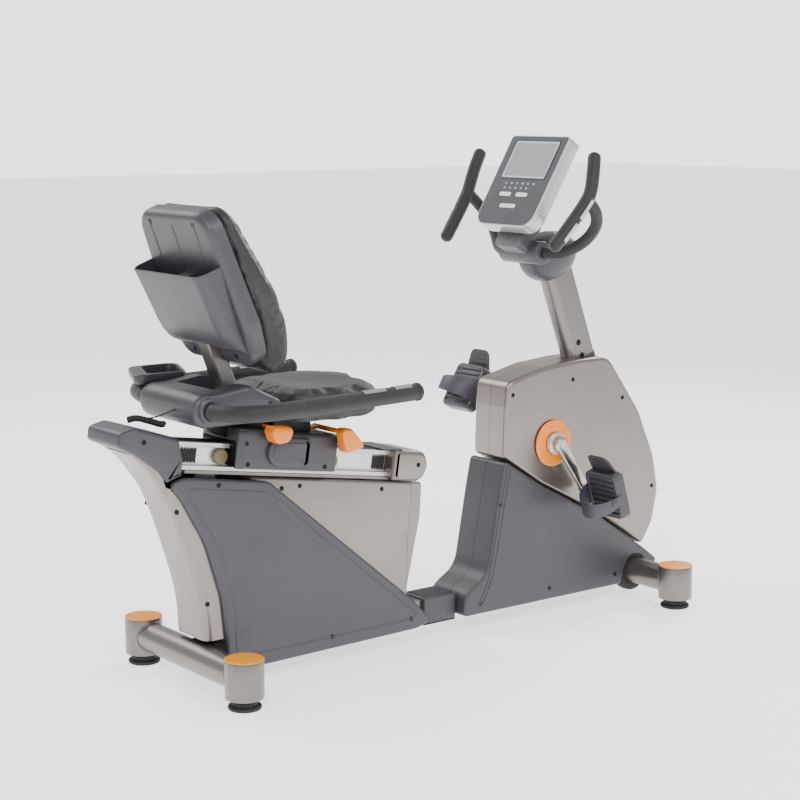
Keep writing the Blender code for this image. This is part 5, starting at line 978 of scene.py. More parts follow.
def slotShape(centre, across, up, out, length, height):
    # a raised rim round a dark recess: stadium outline, two quarter rounds in section
    loop = arcLoop([(-length / 2, -height / 2, height * 0.49), (length / 2, -height / 2, height * 0.49),
                    (length / 2, height / 2, height * 0.49), (-length / 2, height / 2, height * 0.49)], 8)
    view = planeView(centre, across, up, out)
    return layered(loop, [(-0.002, 0.0), (0.0004, 0.0), (0.0010, 0.0008), (0.0004, 0.0018), (-0.0002, 0.0022),
                          (-0.0002, height * 0.4)], view)


def onBarrel(turn):
    # a place on the housing's round back about the bar, the way out of it and the way up it
    out = np.array([-math.cos(turn), 0, math.sin(turn)])
    place = np.array([yokeX, 0, yokeZ - 0.0018]) + yokeSize["roundRadius"] * out
    return place, out, np.array([math.sin(turn), 0, math.cos(turn)])


slots = []
for y, turn, length, height in ((-0.012, 0.75, 0.020, 0.010), (-0.118, 0.75, 0.020, 0.010),
                                (-0.120, -0.62, 0.012, 0.009), (-0.045, -0.05, 0.011, 0.010)):
    point, out, upWay = onBarrel(turn)
    slots.append(slotShape(point + (0, y, 0), (0, 1, 0), upWay, out, length, height))
makePiece("yokeSlots", together(slots), "mouldedRubber", "carriage")

trayRear, trayLow, trayHigh = yokeX - 0.050, 0.144, 0.3125
trayBase, trayRim = yokeZ + 0.0325, yokeZ + 0.060
trayLoop = arcLoop([(trayRear, trayLow, 0.024), (trayRear + 0.160, trayLow, 0.024),
                    (trayRear + 0.232, trayHigh, 0.030), (trayRear + 0.076, trayHigh, 0.030)], 10)
trayLoop = evenLoop(trayLoop, 120)
# a full round rim outside; the opening is a smaller skewed outline ahead of a solid lobe
openLoop = evenLoop(arcLoop([(trayRear + 0.050, trayLow + 0.016, 0.012),
                             (trayRear + 0.150, trayLow + 0.012, 0.014),
                             (trayRear + 0.212, trayHigh - 0.014, 0.020),
                             (trayRear + 0.108, trayHigh - 0.014, 0.020)],
                            10), 120)
openLoop = np.roll(openLoop, -np.argmin(np.linalg.norm(openLoop - trayLoop[0], axis=1)), 0)
trayLayers = [(trayBase, 0.012), (trayBase + 0.0015, 0.0055), (trayBase + 0.0050, 0.0020),
              (trayBase + 0.0110, 0.0004), (trayRim - 0.0075, 0.0)]
trayLayers += [(trayRim - 0.0075 + 0.0075 * math.sin(t), 0.0075 - 0.0075 * math.cos(t))
               for t in np.linspace(0, math.pi / 2, 7)[1:]]
trayRows = [planView(*insetLoop(trayLoop, inset).T, np.full(120, height)) for height, inset in trayLayers]
trayRows += [planView(*insetLoop(openLoop, inset).T, np.full(120, height)) for height, inset in
             ((trayRim, -0.0030), (trayRim - 0.0008, -0.0008), (trayRim - 0.0030, 0.0),
              (trayBase + 0.0060, 0.0010), (trayBase + 0.0045, 0.0040))]
tray = gridShape(np.stack(trayRows))
pocketLoop = arcLoop([(trayRear + 0.105, trayLow + 0.008, 0.008), (trayRear + 0.150, trayLow + 0.008, 0.008),
                      (trayRear + 0.172, trayLow + 0.066, 0.012), (trayRear + 0.150, trayLow + 0.082, 0.010),
                      (trayRear + 0.122, trayLow + 0.066, 0.012)], 6)
pocket = layered(pocketLoop, [(yokeZ - 0.044, 0.006), (yokeZ - 0.0425, 0.0025), (yokeZ - 0.039, 0.0006),
                              (yokeZ - 0.030, 0.0), (trayBase + 0.004, 0.0)], planView)
lugLoop = arcLoop([(trayRear + 0.118, trayHigh - 0.084, 0.010), (trayRear + 0.190, trayHigh - 0.084, 0.010),
                   (trayRear + 0.200, trayHigh - 0.004, 0.014), (trayRear + 0.140, trayHigh - 0.004, 0.014)],
                  6)
lug = layered(lugLoop, [(yokeZ + 0.006, 0.004), (yokeZ + 0.008, 0.0), (trayBase + 0.004, 0.0)], planView)
makePiece("cupHolder", together([tray, pocket, lug]), "texturedAbs", "carriage", ["cup_holder"])
print("seat bar, yoke and cup holder made")


# Backrest: shell with its pocket, and later the cushion; the post stays the CAD node
shellLoop = arcLoop([(-0.167, 0.108, 0.060), (0.167, 0.108, 0.060), (0.190, 0.218, 0.100),
                     (0.165, 0.525, 0.060), (-0.165, 0.525, 0.060), (-0.190, 0.218, 0.100)], 12)
shellLoop = evenLoop(shellLoop, 168)
shellSize = {"rim": 0.052, "back": 0.006, "wall": 0.004, "edge": 0.020}
shell = coverShape(shellLoop, shellSize["rim"], shellSize["back"], shellSize["wall"], shellSize["edge"],
                   backView, 9)
bucket = {"floor": 0.230, "wall": 0.0035, "side": 0.030, "halfWidth": 0.160, "flare": 0.04}


def bucketRing(up, depth, inner, count=60):
    # U-shaped section: flat back at the depth, sides turned forward with a round corner
    width = bucket["halfWidth"] + (up - bucket["floor"]) * bucket["flare"] - inner
    corner = max(min(bucket["side"], (depth + 0.012) * 0.7) - inner * 0.5, 0.002)
    back = -depth + inner
    t = np.linspace(0, math.pi / 2, 10)
    x = np.concatenate([[-width], -(width - corner) - corner * np.cos(t),
                        (width - corner) + corner * np.sin(t), [width]])
    d = np.concatenate([[0.012], back + corner - corner * np.sin(t), back + corner - corner * np.cos(t),
                        [0.012]])
    return backView(x, np.full(len(x), up), d)


bucketUps = [(0.150, -0.006), (0.156, 0.000), (0.164, 0.008), (0.172, 0.018), (0.182, 0.028), (0.196, 0.037),
             (0.214, 0.0435), (0.240, 0.0485), (0.300, 0.0535), (0.360, 0.0590), (0.384, 0.0615),
             (0.3872, 0.0608)]
outerRings = [bucketRing(up, depth, 0.0) for up, depth in bucketUps]
innerUps = ((0.3872, 0.0612), (0.384, 0.0610), (0.300, 0.0535), (0.240, 0.0485), (0.232, 0.0400))
innerRings = [bucketRing(up, depth, bucket["wall"]) for up, depth in innerUps]
bucketShape = gridShape(np.stack(outerRings + innerRings), closeCols=False)
backRest = [shell, bucketShape]
rim = bucketRing(0.3865, 0.0612, 0.0012)
backRest.append(tube(rim, 0.0026, 10, hint=(0.35, 0, -0.93)))
for across, up0, up1 in ((-0.105, 0.400, 0.498), (0.0, 0.400, 0.488), (0.105, 0.400, 0.498)):
    # soft lengthwise ridges on the upper shell, 2 mm proud
    ups = np.linspace(up0, up1, 12)
    backRest.append(endedTube(backView(np.full(12, across), ups, np.full(12, 0.0072)), 0.0032, 12,
                              hint=(0, 1, 0), dome=1.6))
addScrews("backrest", [backView(a, b, shellSize["back"]) for a,
                       b in ((-0.103, 0.497), (0.103, 0.497), (-0.100, 0.138),
                                                          (0.100, 0.138))],
          tuple(backView(0, 0, -1) - backView(0, 0, 0)), 0.0075)
makePiece("backrestShell", together(backRest), "texturedAbs", "backrest", ["backrest_shell"],
          40)
print("backrest shell made")


# Cushions: a smaller form is filled by a cloth simulation, then seams are sunk into it
cushions = {
    # form: low face, high face, edge radius, crown; cap: the furthest that a point may move
    "seat": {"form": (0.694, 0.768, 0.026, 0.004), "pressure": 4.0, "cap": 0.009, "voxel": 0.005},
    "back": {"form": (0.0575, 0.138, 0.026, 0.003), "pressure": 4.0, "cap": 0.010, "voxel": 0.005},
}
seams = {"sink": 0.0022, "width": 0.0032, "seat": (0.7565, 0.709), "back": (0.128, 0.070)}


def crownedForm(loop, low, high, edge, crown, view):
    # slab whose edges are quarter circles and whose faces rise to the middle as 1 - s squared
    rings = []
    t = np.linspace(0, math.pi / 2, 8)
    layers = [(low + edge * (1 - math.cos(k)), edge * (1 - math.sin(k))) for k in t]
    layers += [(high - edge * (1 - math.sin(k)), edge * (1 - math.cos(k))) for k in t]
    middle = loop.mean(0)
    for depth, inset in layers:
        ring = insetLoop(loop, inset)
        rings.append(view(ring[:, 0], ring[:, 1], np.full(len(ring), depth)))
    top = insetLoop(loop, edge)
    for s in (0.85, 0.7, 0.5, 0.3, 0.1):
        ring = middle + (top - middle) * s
        rise = crown * (1 - s ** 2)
        rings.append(view(ring[:, 0], ring[:, 1], np.full(len(ring), high + rise)))
    bottom = insetLoop(loop, edge)
    under = []
    for s in (0.1, 0.5, 0.85):
        ring = middle + (bottom - middle) * s
        under.append(view(ring[:, 0], ring[:, 1], np.full(len(ring), low)))
    return gridShape(np.stack(under + rings))


def fillCushion(piece, look):
    # voxel remesh, then cloth under pressure; how far any point moves is capped
    for o in bpy.context.selected_objects:
        o.select_set(False)
    remesh = piece.modifiers.new("remesh", "REMESH")
    remesh.mode = "VOXEL"
    remesh.voxel_size = look["voxel"]
    applyModifiers(piece)
    before = readPoints(piece)
    cloth = piece.modifiers.new("cloth", "CLOTH")
    cloth.settings.use_pressure = True
    cloth.settings.uniform_pressure_force = look["pressure"]
    cloth.settings.effector_weights.gravity = 0
    cloth.settings.tension_stiffness = 12
    cloth.settings.compression_stiffness = 12
    cloth.settings.bending_stiffness = 2.0
    cloth.point_cache.frame_start, cloth.point_cache.frame_end = 1, 20
    for number in range(1, 21):
        bpy.context.scene.frame_set(number)
    applyModifiers(piece)
    bpy.context.scene.frame_set(1)
    after = readPoints(piece)
    move = after - before
    length = np.linalg.norm(move, axis=1, keepdims=True)
    writePoints(piece, before + move * np.minimum(1, look["cap"] / np.maximum(length, 1e-9)))


def applyModifiers(piece):
    graph = bpy.context.evaluated_depsgraph_get()
    mesh = bpy.data.meshes.new_from_object(piece.evaluated_get(graph), depsgraph=graph)
    old = piece.data
    materials = [slot.material for slot in piece.material_slots]
    piece.modifiers.clear()
    piece.data = mesh
    mesh.materials.clear()
    for material in materials:
        mesh.materials.append(material)
    bpy.data.meshes.remove(old)


def readPoints(piece):
    points = np.empty(len(piece.data.vertices) * 3)
    piece.data.vertices.foreach_get("co", points)
    return points.reshape(-1, 3)


def writePoints(piece, points):
    piece.data.vertices.foreach_set("co", points.reshape(-1))
    piece.data.update()


def subdivideOnce(piece):
    smooth = piece.modifiers.new("smooth", "SUBSURF")
    smooth.levels = smooth.render_levels = 1
    applyModifiers(piece)
    piece.data.shade_smooth()


def sinkSeam(points, distance, direction, depth, width):
    # a sewn seam: the surface drops by depth exp(-(distance / width) squared) against its own direction
    return points - direction * (depth * np.exp(-(distance / width) ** 2))[:, None]


seatLoop = arcLoop([(rearX + 0.209, -0.168, 0.050), (rearX + 0.359, -0.206, 0.080),
                    (rearX + 0.514, -0.190, 0.090),
                    (rearX + 0.534, 0.0, 0.200), (rearX + 0.514, 0.190, 0.090), (rearX + 0.359, 0.206, 0.080),
                    (rearX + 0.209, 0.168, 0.050)], 10)
seatLoop = evenLoop(insetLoop(seatLoop, 0.007), 150)
seatPad = makePiece("seatCushion", crownedForm(seatLoop, *cushions["seat"]["form"], planView), "leathercloth",
                    "carriage", ["seat_cushion"])
fillCushion(seatPad, cushions["seat"])
subdivideOnce(seatPad)
points = readPoints(seatPad)
points[:, 2] = np.maximum(points[:, 2], 0.6905)
centre = seatLoop.mean(0)
side = points[:, :2] - centre
outward = side / np.maximum(np.linalg.norm(side, axis=1, keepdims=True), 1e-6)
sideFacing = np.clip((np.abs(points[:, 0] - centre[0]) / 0.163) ** 4 + (np.abs(points[:, 1]) / 0.195) ** 4, 0,
                     1)
direction = np.concatenate([outward, np.zeros((len(points), 1))], 1) * sideFacing[:, None]
for height in seams["seat"]:
    points = sinkSeam(points, points[:, 2] - height, direction, seams["sink"], seams["width"])
# a low pommel rises at the front, and the middle is dished where the rider sits
topShare = np.clip((points[:, 2] - 0.715) / 0.05, 0, 1)
pommel = 0.010 * np.exp(-(points[:, 1] / 0.075) ** 2 - ((points[:, 0] - rearX - 0.480) / 0.055) ** 2)
dip = 0.010 * np.exp(-(points[:, 1] / 0.13) ** 2 - ((points[:, 0] - rearX - 0.350) / 0.080) ** 2)
points[:, 2] = np.minimum(points[:, 2] + topShare * (pommel - dip), 0.7835)
writePoints(seatPad, points)

backLoop = arcLoop([(-0.150, 0.046, 0.050), (0.150, 0.046, 0.050), (0.206, 0.290, 0.300),
                    (0.172, 0.532, 0.075), (-0.172, 0.532, 0.075), (-0.206, 0.290, 0.300)], 12)
backLoop = evenLoop(insetLoop(backLoop, 0.006), 180)
lumbar = {"up": (0.044, 0.10, 0.17, 0.25, 0.35, 0.45, 0.534),
          "share": (0.60, 0.88, 1.0, 0.92, 0.70, 0.50, 0.38)}
lumbarKnots = throughKnots(np.stack([lumbar["up"], lumbar["share"]], 1), 8)


def lumbarDepth(up, depth):
    # the pad's thickness is scaled by a smooth share of its height: thin at the top, fullest behind the loins
    base = cushions["back"]["form"][0]
    return base + (np.asarray(depth) - base) * np.interp(up, lumbarKnots[:, 0], lumbarKnots[:, 1])


def lumbarView(a, b, d):
    return backView(a, b, lumbarDepth(b, d))


backPad = makePiece("backCushion", crownedForm(backLoop, *cushions["back"]["form"], lumbarView),
                    "leathercloth", "backrest", ["backrest_cushion"])
fillCushion(backPad, cushions["back"])
subdivideOnce(backPad)
points = readPoints(backPad)
upWay = np.array([-math.sin(backTilt), 0, math.cos(backTilt)])
outWay = np.array([math.cos(backTilt), 0, math.sin(backTilt)])
local = points - hinge
across, up, out = -local[:, 1], local @ upWay, local @ outWay
out = np.maximum(out, 0.0532)
middleUp = 0.289
side = np.stack([across, (up - middleUp) * 0.82], 1)
outward = side / np.maximum(np.linalg.norm(side, axis=1, keepdims=True), 1e-6)
near = np.clip((np.abs(across) / 0.19) ** 6 + (np.abs(up - middleUp) / 0.235) ** 6, 0, 1)
for level in seams["back"]:
    place = lumbarDepth(up, level)
    sink = seams["sink"] * np.exp(-((out - place) / seams["width"]) ** 2) * near
    across = across - outward[:, 0] * sink
    up = up - outward[:, 1] * sink
writePoints(backPad, backView(across, up, out))
print("cushions made")

# Mast, head and console bar
mastLoop = arcLoop([(-0.050, -0.030, 0.026), (0.050, -0.030, 0.012), (0.050, 0.030, 0.012),
                    (-0.050, 0.030, 0.026)], 10)
makePiece("mastTube", layered(mastLoop, [(-0.050, 0.0), (0.329, 0.0)], mastView), "powderCoat", "frame",
          ["mast"])
skirt = layered(insetLoop(mastLoop, -0.002), [(-0.046, 0.0), (-0.004, 0.0), (0.0, 0.0015), (0.0, 0.004)],
                mastView)
makePiece("mastCollar", skirt, "texturedAbs", "frame")
headLevels = throughKnots([(-0.064, 0.034, 0.026), (-0.052, 0.060, 0.044), (-0.030, 0.080, 0.058),
                           (0.000, 0.090, 0.066), (0.030, 0.084, 0.066), (0.054, 0.060, 0.052),
                           (0.068, 0.030, 0.030)], 6)
headTurn = np.linspace(0, 2 * math.pi, 64, endpoint=False)
# superellipse sections: exponent 2.6 gives flatter sides than an ellipse
roundX = np.sign(np.cos(headTurn)) * np.abs(np.cos(headTurn)) ** (2 / 2.6)
roundY = np.sign(np.sin(headTurn)) * np.abs(np.sin(headTurn)) ** (2 / 2.6)
headGrid = np.stack([mastView(-0.008 + long * roundX, wide * roundY, np.full(64, 0.330 + up))
                     for up, long, wide in headLevels])
clamp = np.array([frontX - 0.400, 0, 1.080])
socket = [(0.0, -0.0835), (0.0185, -0.0835), (0.0190, -0.0830), (0.0290, -0.0825), (0.0325, -0.0805),
          (0.0340, -0.0770), (0.0340, 0.0770), (0.0325, 0.0805), (0.0290, 0.0825), (0.0190, 0.0830),
          (0.0185, 0.0835), (0.0, 0.0835)]
neckLoop = arcLoop([(-0.056, -0.040, 0.017), (0.056, -0.040, 0.017), (0.048, 0.172, 0.024),
                    (-0.048, 0.172, 0.024)], 8)
neck = layered(neckLoop, roundEdge(-0.0505, -0.1080, 0.016, 7, both=False), faceView)
makePiece("headHousing", together([gridShape(headGrid), turned(socket, clamp, (0, 1, 0), 56), neck]),
          "texturedAbs", "frame", ["head_cover"])
addScrews("frame", [(1.123 + rearX, -0.064, 1.182)], (0, -1, 0), 0.005)
addScrews("frame", [(1.343 + rearX, -0.030, 0.801), (1.358 + rearX, -0.030, 0.761)], (0, -1, 0), 0.009)

consoleBar = {"barRadius": 0.0172, "foamRadius": 0.0188}
barKnots = [(0.0, 0.09, 0.0), (0.022, 0.140, 0.006), (0.052, 0.190, 0.036), (0.062, 0.228, 0.080),
            (0.040, 0.252, 0.122), (0.004, 0.258, 0.158)]
gripKnots = [(-0.100, 0.237, 0.036), (-0.066, 0.245, 0.076), (-0.008, 0.258, 0.150), (0.010, 0.262, 0.186),
             (0.024, 0.256, 0.236), (0.036, 0.247, 0.276)]
barParts, sleeves, plates = [], [], []
for sign in (-1, 1):
    path = throughKnots([clamp + (x, sign * y, z) for x, y, z in barKnots], 10)
    barParts.append(tube(path, consoleBar["barRadius"], 28, hint=(1, 0, 0)))
    path = throughKnots([clamp + (x, sign * y, z) for x, y, z in gripKnots], 12)
    sleeves.append(endedTube(path, consoleBar["foamRadius"], 36, hint=(1, 0, 0), dome=0.9))
makePiece("consoleSleeves", together(sleeves), "foamSleeve", "frame", ["console_handlebar"])
makePiece("consoleBar", together(barParts), "foamSleeve", "frame")


def raisedPlate(low, high):
    # a raised skin whose long edges and end rows drop back to the surface below it
    grid = np.concatenate([low[:, :1], high, low[:, -1:]], axis=1)
    edge = low[:, [0, *range(low.shape[1]), low.shape[1] - 1]]
    return gridShape(np.concatenate([edge[:1], grid, edge[-1:]]), closeCols=False)


def pulsePlate(path, radius, start, end, turn, spread):
    # part of a tube's skin between two angles, raised 1.3 mm: rows along the path, columns round it
    path = np.array(path, float)
    tangent = np.gradient(path, axis=0)
    tangent /= np.linalg.norm(tangent, axis=1, keepdims=True)
    first = np.cross(tangent, np.array([1.0, 0, 0]))
    first /= np.linalg.norm(first, axis=1, keepdims=True)
    second = np.cross(tangent, first)
    rows = slice(start, end)
    angles = turn + np.linspace(-spread, spread, 13)
    shape = []
    for lift in (0.0, 0.0013):
        circle = (first[rows, None] * np.cos(angles)[None, :, None] + second[rows, None]
                  * np.sin(angles)[None, :, None])
        shape.append(path[rows, None] + circle * (radius + lift))
    return raisedPlate(*shape)


for sign in (-1, 1):
    path = throughKnots([clamp + (x, sign * y, z) for x, y, z in gripKnots], 12)
    inner = math.pi if sign < 0 else 0.0
    plates += [pulsePlate(path, consoleBar["foamRadius"], 6, 17, inner + 0.6, 0.80),
               pulsePlate(path, consoleBar["foamRadius"], 18, 29, inner + 0.6, 0.80)]
makePiece("pulsePlates", together(plates), "platedSteel", "frame")
seatPlates = []
for sign in (-1, 1):
    path = throughKnots([(yokeX + x, sign * y, yokeZ + z) for x, y, z in barSide], 10)
    for start, end in ((58, 63), (64, 69)):
        rows = path[start:end]
        angles = math.pi / 2 + np.linspace(-0.75, 0.75, 13)
        shape = [np.stack([np.broadcast_to(rows[:, 0, None], (len(rows), 13)),
                           rows[:, 1, None] + sign * (grip["foamRadius"] + lift) * np.cos(angles)[None],
                           rows[:, 2, None] + (grip["foamRadius"] + lift) * np.sin(angles)[None]], -1)
                 for lift in (0.0, 0.0013)]
        seatPlates.append(raisedPlate(*shape))
makePiece("seatPulsePlates", together(seatPlates), "platedSteel", "carriage")
print("mast, head and bars made")


# Console: silver shell, slate face, LCD in its border, two rows of marks, three keys
face = {"width": 0.245, "height": 0.298, "depth": 0.050, "inset": 0.012, "lcdHalf": 0.086, "lcdLow": 0.163,
        "lcdHigh": 0.272}


def consoleOutline(shrink, lowRound, topRound):
    half = face["width"] / 2 - shrink
    return evenLoop(arcLoop([(-half, shrink, lowRound), (half, shrink, lowRound),
                             (half * 1.02, face["height"] - shrink, topRound),
                             (-half * 1.02, face["height"] - shrink, topRound)], 12), 160)


outer = consoleOutline(0.0, 0.045, 0.012)
shellLayers = roundEdge(-face["depth"], 0.0, 0.010, 7)
shellLayers = [entry for entry in shellLayers if entry[0] < -0.0095]
shellLayers += [(-0.0150, 0.0), (-0.0142, 0.0014), (-0.0128, 0.0014), (-0.0120, 0.0)]
shellLayers = sorted(set(shellLayers), key=lambda entry: entry[0])
# front edge: a quarter round of 3.5 mm, then down to the face
shellLayers += [(-0.0035 + 0.0035 * math.sin(k), 0.0035 - 0.0035 * math.cos(k))
                for k in np.linspace(0, math.pi / 2, 6)]
shellLayers += [(-0.0004, 0.0042), (-0.0050, 0.0044)]
makePiece("consoleShell", layered(outer, shellLayers, faceView), "brightSilverPaint", "frame",
          ["console_housing"])
faceLoop = consoleOutline(0.0047, 0.0410, 0.0080)
half, low, high = face["lcdHalf"], face["lcdLow"], face["lcdHigh"]
faceParts = [layered(faceLoop, [(-0.0045, 0.0), (-0.0012, 0.0), (-0.0006, 0.0006)], faceView)]
frameLoop = arcLoop([(-half - 0.010, low - 0.010, 0.008), (half + 0.010, low - 0.010, 0.008),
                     (half + 0.010, high + 0.010, 0.008), (-half - 0.010, high + 0.010, 0.008)], 8)
faceParts.append(layered(frameLoop, [(-0.002, 0.0), (0.0002, 0.0), (0.0010, 0.0010), (0.0010, 0.0030),
                                     (0.0002, 0.0040), (-0.002, 0.0040)], faceView, closeRows=True))
makePiece("consoleFace", together(faceParts), "consoleAbs", "frame", ["console_face"])
border = arcLoop([(-half - 0.006, low - 0.006, 0.005), (half + 0.006, low - 0.006, 0.005),
                  (half + 0.006, high + 0.006, 0.005), (-half - 0.006, high + 0.006, 0.005)], 8)
makePiece("lcdFrame", layered(border, [(-0.0012, 0.0), (-0.0001, 0.0), (0.0001, 0.0002)], faceView),
          "lcdBorder", "frame")
screen = arcLoop([(-half, low, 0.003), (half, low, 0.003), (half, high, 0.003), (-half, high, 0.003)], 6)
makePiece("lcdWindow", layered(screen, [(-0.0010, 0.0), (0.0002, 0.0), (0.0004, 0.0002)], faceView),
          "lcdGlass", "frame", ["lcd_screen"])
marks = []
for row, b in enumerate((0.1385, 0.1235)):
    for k in range(6 - row):
        a = -0.058 + k * 0.0235 + row * 0.001
        loop = arcLoop([(a - 0.0032, b - 0.0030, 0.0029), (a + 0.0032, b - 0.0030, 0.0029),
                        (a + 0.0032, b + 0.0030, 0.0029), (a - 0.0032, b + 0.0030, 0.0029)], 5)
        if k % 2 == row:
            marks.append(layered(loop, [(-0.0008, 0.0), (-0.0004, 0.0), (-0.0004, 0.0010), (-0.0008, 0.0010)],
                                 faceView, closeRows=True))
            dot = arcLoop([(a - 0.0009, b - 0.0012, 0.0008), (a + 0.0009, b - 0.0012, 0.0008),
                           (a + 0.0009, b + 0.0012, 0.0008), (a - 0.0009, b + 0.0012, 0.0008)], 4)
            marks.append(layered(dot, [(-0.0008, 0.0), (-0.0004, 0.0)], faceView))
        else:
            marks.append(layered(loop, [(-0.0008, 0.0), (-0.0004, 0.0)], faceView))
makePiece("consoleMarks", together(marks), "padPrint", "frame")
for name, a, b, reach in (("left", -0.040, 0.102, 0.024), ("right", 0.030, 0.102, 0.024),
                          ("bottom", -0.008, 0.064, 0.033)):
    r = 0.0064
    key = arcLoop([(a - reach, b - r, r * 0.99), (a + reach, b - r, r * 0.99), (a + reach, b + r, r * 0.99),
                   (a - reach, b + r, r * 0.99)], 10)
    makePiece(f"key_{name}", layered(key, [(-0.0034, 0.0), (0.0016, 0.0), (0.0021, 0.0004), (0.0024, 0.0012)],
                                     faceView),
              "whiteAbs", f"console_key_{name}", [f"console_key_{name}"])
print("console made")


# Cranks and pedals
crank = np.array([frontX - 0.346, 0, 0.518])
drive = {"length": 0.170, "angle": -55.5, "inner": 0.097, "thick": 0.018, "discRadius": 0.069,
         "pedalLeans": {"left": -30, "right": 17}, "pedalSize": 1.3}


def crankShape(sign, angle):
    # arm outline: round ends of 19 mm radius at the hub and 14 mm at the pedal, joined by straight edges
    way = np.array([math.cos(angle), math.sin(angle)])
    square = np.array([-way[1], way[0]])
    hub, eye = 0.0190, 0.0140
    lean = math.asin((hub - eye) / drive["length"])
    back = np.linspace(math.pi / 2 + lean, 3 * math.pi / 2 - lean, 20)
    fore = np.linspace(-math.pi / 2 + lean, math.pi / 2 - lean, 20)
    hubEnd = hub * (np.cos(back)[:, None] * way + np.sin(back)[:, None] * square)
    pedalEnd = eye * (np.cos(fore)[:, None] * way + np.sin(fore)[:, None] * square)
    loop = np.concatenate([hubEnd, drive["length"] * way + pedalEnd])
    view = planeView(crank, (1, 0, 0), (0, 0, 1), (0, sign, 0))
    inner, outer = drive["inner"] + 0.0005, drive["inner"] + drive["thick"]
    arm = layered(loop, roundEdge(inner, outer, 0.0045, 5), view)
    boss = turned([(0, 0), (0.0235, 0), (0.0235, 0.010), (0.0225, 0.0125), (0.0200, 0.0138), (0.0165, 0.0140),
                   (0.0160, 0.0125), (0.0120, 0.0118), (0, 0.0118)],
                  crank + (0, sign * (drive["inner"] + 0.0005), 0), (0, sign, 0), 56)
    eyePlace = crank + drive["length"] * np.array([way[0], 0, way[1]])
    end = turned([(0, 0), (0.0150, 0), (0.0150, 0.0165), (0.0140, 0.0180), (0.0085, 0.0185), (0.0080, 0.0165),
                  (0, 0.0160)], eyePlace + (0, sign * (drive["inner"] + 0.0010), 0), (0, sign, 0), 40)
    return together([arm, boss, end])


for side, sign, angle in (("right", -1, math.radians(drive["angle"])),
                          ("left", 1, math.radians(drive["angle"] + 180))):
    makePiece(f"crankArm_{side}", crankShape(sign, angle), "platedSteel", "crank", [f"crank_arm_{side}"])
    r = drive["discRadius"]
    disc = [(0.034, 0.0712), (r - 0.010, 0.0712), (r - 0.003, 0.0720), (r, 0.0745), (r, 0.0765),
            (r - 0.002, 0.0788),
            (r - 0.006, 0.0798), (r - 0.016, 0.0802), (r - 0.0175, 0.0790), (r - 0.019, 0.0802),
            (0.0345, 0.0806), (0.034, 0.0800)]
    makePiece(f"crankDisc_{side}", ringShape([(a, sign * d) for a, d in disc], crank, (0, 1, 0), 96),
              "orangeAbs", "crank", [f"crank_disc_{side}"])
    ring = [(0.0125, 0.0815), (0.0330, 0.0815), (0.0335, 0.0825), (0.0335, 0.0900), (0.0325, 0.0930),
            (0.0290, 0.0955), (0.0240, 0.0965), (0.0125, 0.0965)]
    makePiece(f"crankHub_{side}", ringShape([(a, sign * d) for a, d in ring], crank, (0, 1, 0), 72),
              "brightSilverPaint", "crank")


def pedalView(side):
    # a = up along the pedal, b = out of its bed towards the shoe, depth = across, outwards from the crank
    sign = -1 if side == "right" else 1
    angle = math.radians(drive["angle"] + (0 if side == "right" else 180))
    size = drive["pedalSize"]
    centre = crank + (drive["length"] * math.cos(angle), sign * (0.140 + 0.050 * size),
                      drive["length"] * math.sin(angle))
    lean = math.radians(drive["pedalLeans"][side])
    up = (-math.sin(lean) * size, 0, math.cos(lean) * size)
    back = (-math.cos(lean) * size, 0, -math.sin(lean) * size)
    return planeView(centre, up, back, (0, sign * size, 0))


def pedalShapes(view):
    half = 0.050
    bed = layered(arcLoop([(-0.052, -0.016, 0.006), (0.052, -0.016, 0.006), (0.052, 0.012, 0.005),
                           (-0.052, 0.012, 0.005)], 5), roundEdge(-half + 0.008, half - 0.0005, 0.004, 4),
                  view)
    dark = [bed]
    for k in range(8):
        a = -0.044 + k * 0.0125
        dark.append(layered(arcLoop([(a - 0.0035, 0.010, 0.001), (a + 0.0035, 0.010, 0.001),
                                     (a + 0.0030, 0.0155, 0.0012), (a - 0.0030, 0.0155, 0.0012)], 3),
                            roundEdge(-half + 0.014, half - 0.006, 0.001, 2), view))
    # frame: a rounded ring round the bed
    frame = evenLoop(arcLoop([(-0.054, -half + 0.004, 0.014), (0.054, -half + 0.004, 0.014),
                              (0.054, half, 0.014), (-0.054, half, 0.014)], 8), 96)
    flat = [(-0.012, 0.0), (-0.012, 0.0095), (0.0125, 0.0095), (0.0150, 0.0070), (0.0150, 0.0025),
            (0.0125, 0.0)]
    dark.append(layered(frame, flat, lambda a, c, d: view(a, d, c), closeRows=True))
    # flap: a ribbed plate that rises behind the heel end
    flap = layered(arcLoop([(-0.040, 0.040, 0.006), (0.040, 0.040, 0.006), (0.030, 0.094, 0.016),
                            (-0.030, 0.094, 0.016)], 6),
                   [(-0.003, 0.001), (-0.002, 0.0), (0.002, 0.0), (0.003, 0.001)],
                   lambda c, a, d: view(a, -0.012 + (a - 0.040) * 0.38 + d, c))
    dark.append(flap)
    for k in range(4):
        a = 0.056 + k * 0.009
        dark.append(endedTube(view(np.full(9, a), np.full(9, -0.0085 + (a - 0.040) * 0.38),
                                   np.linspace(-0.022, 0.022, 9)),
                              0.0016, 8))
    return together(dark)


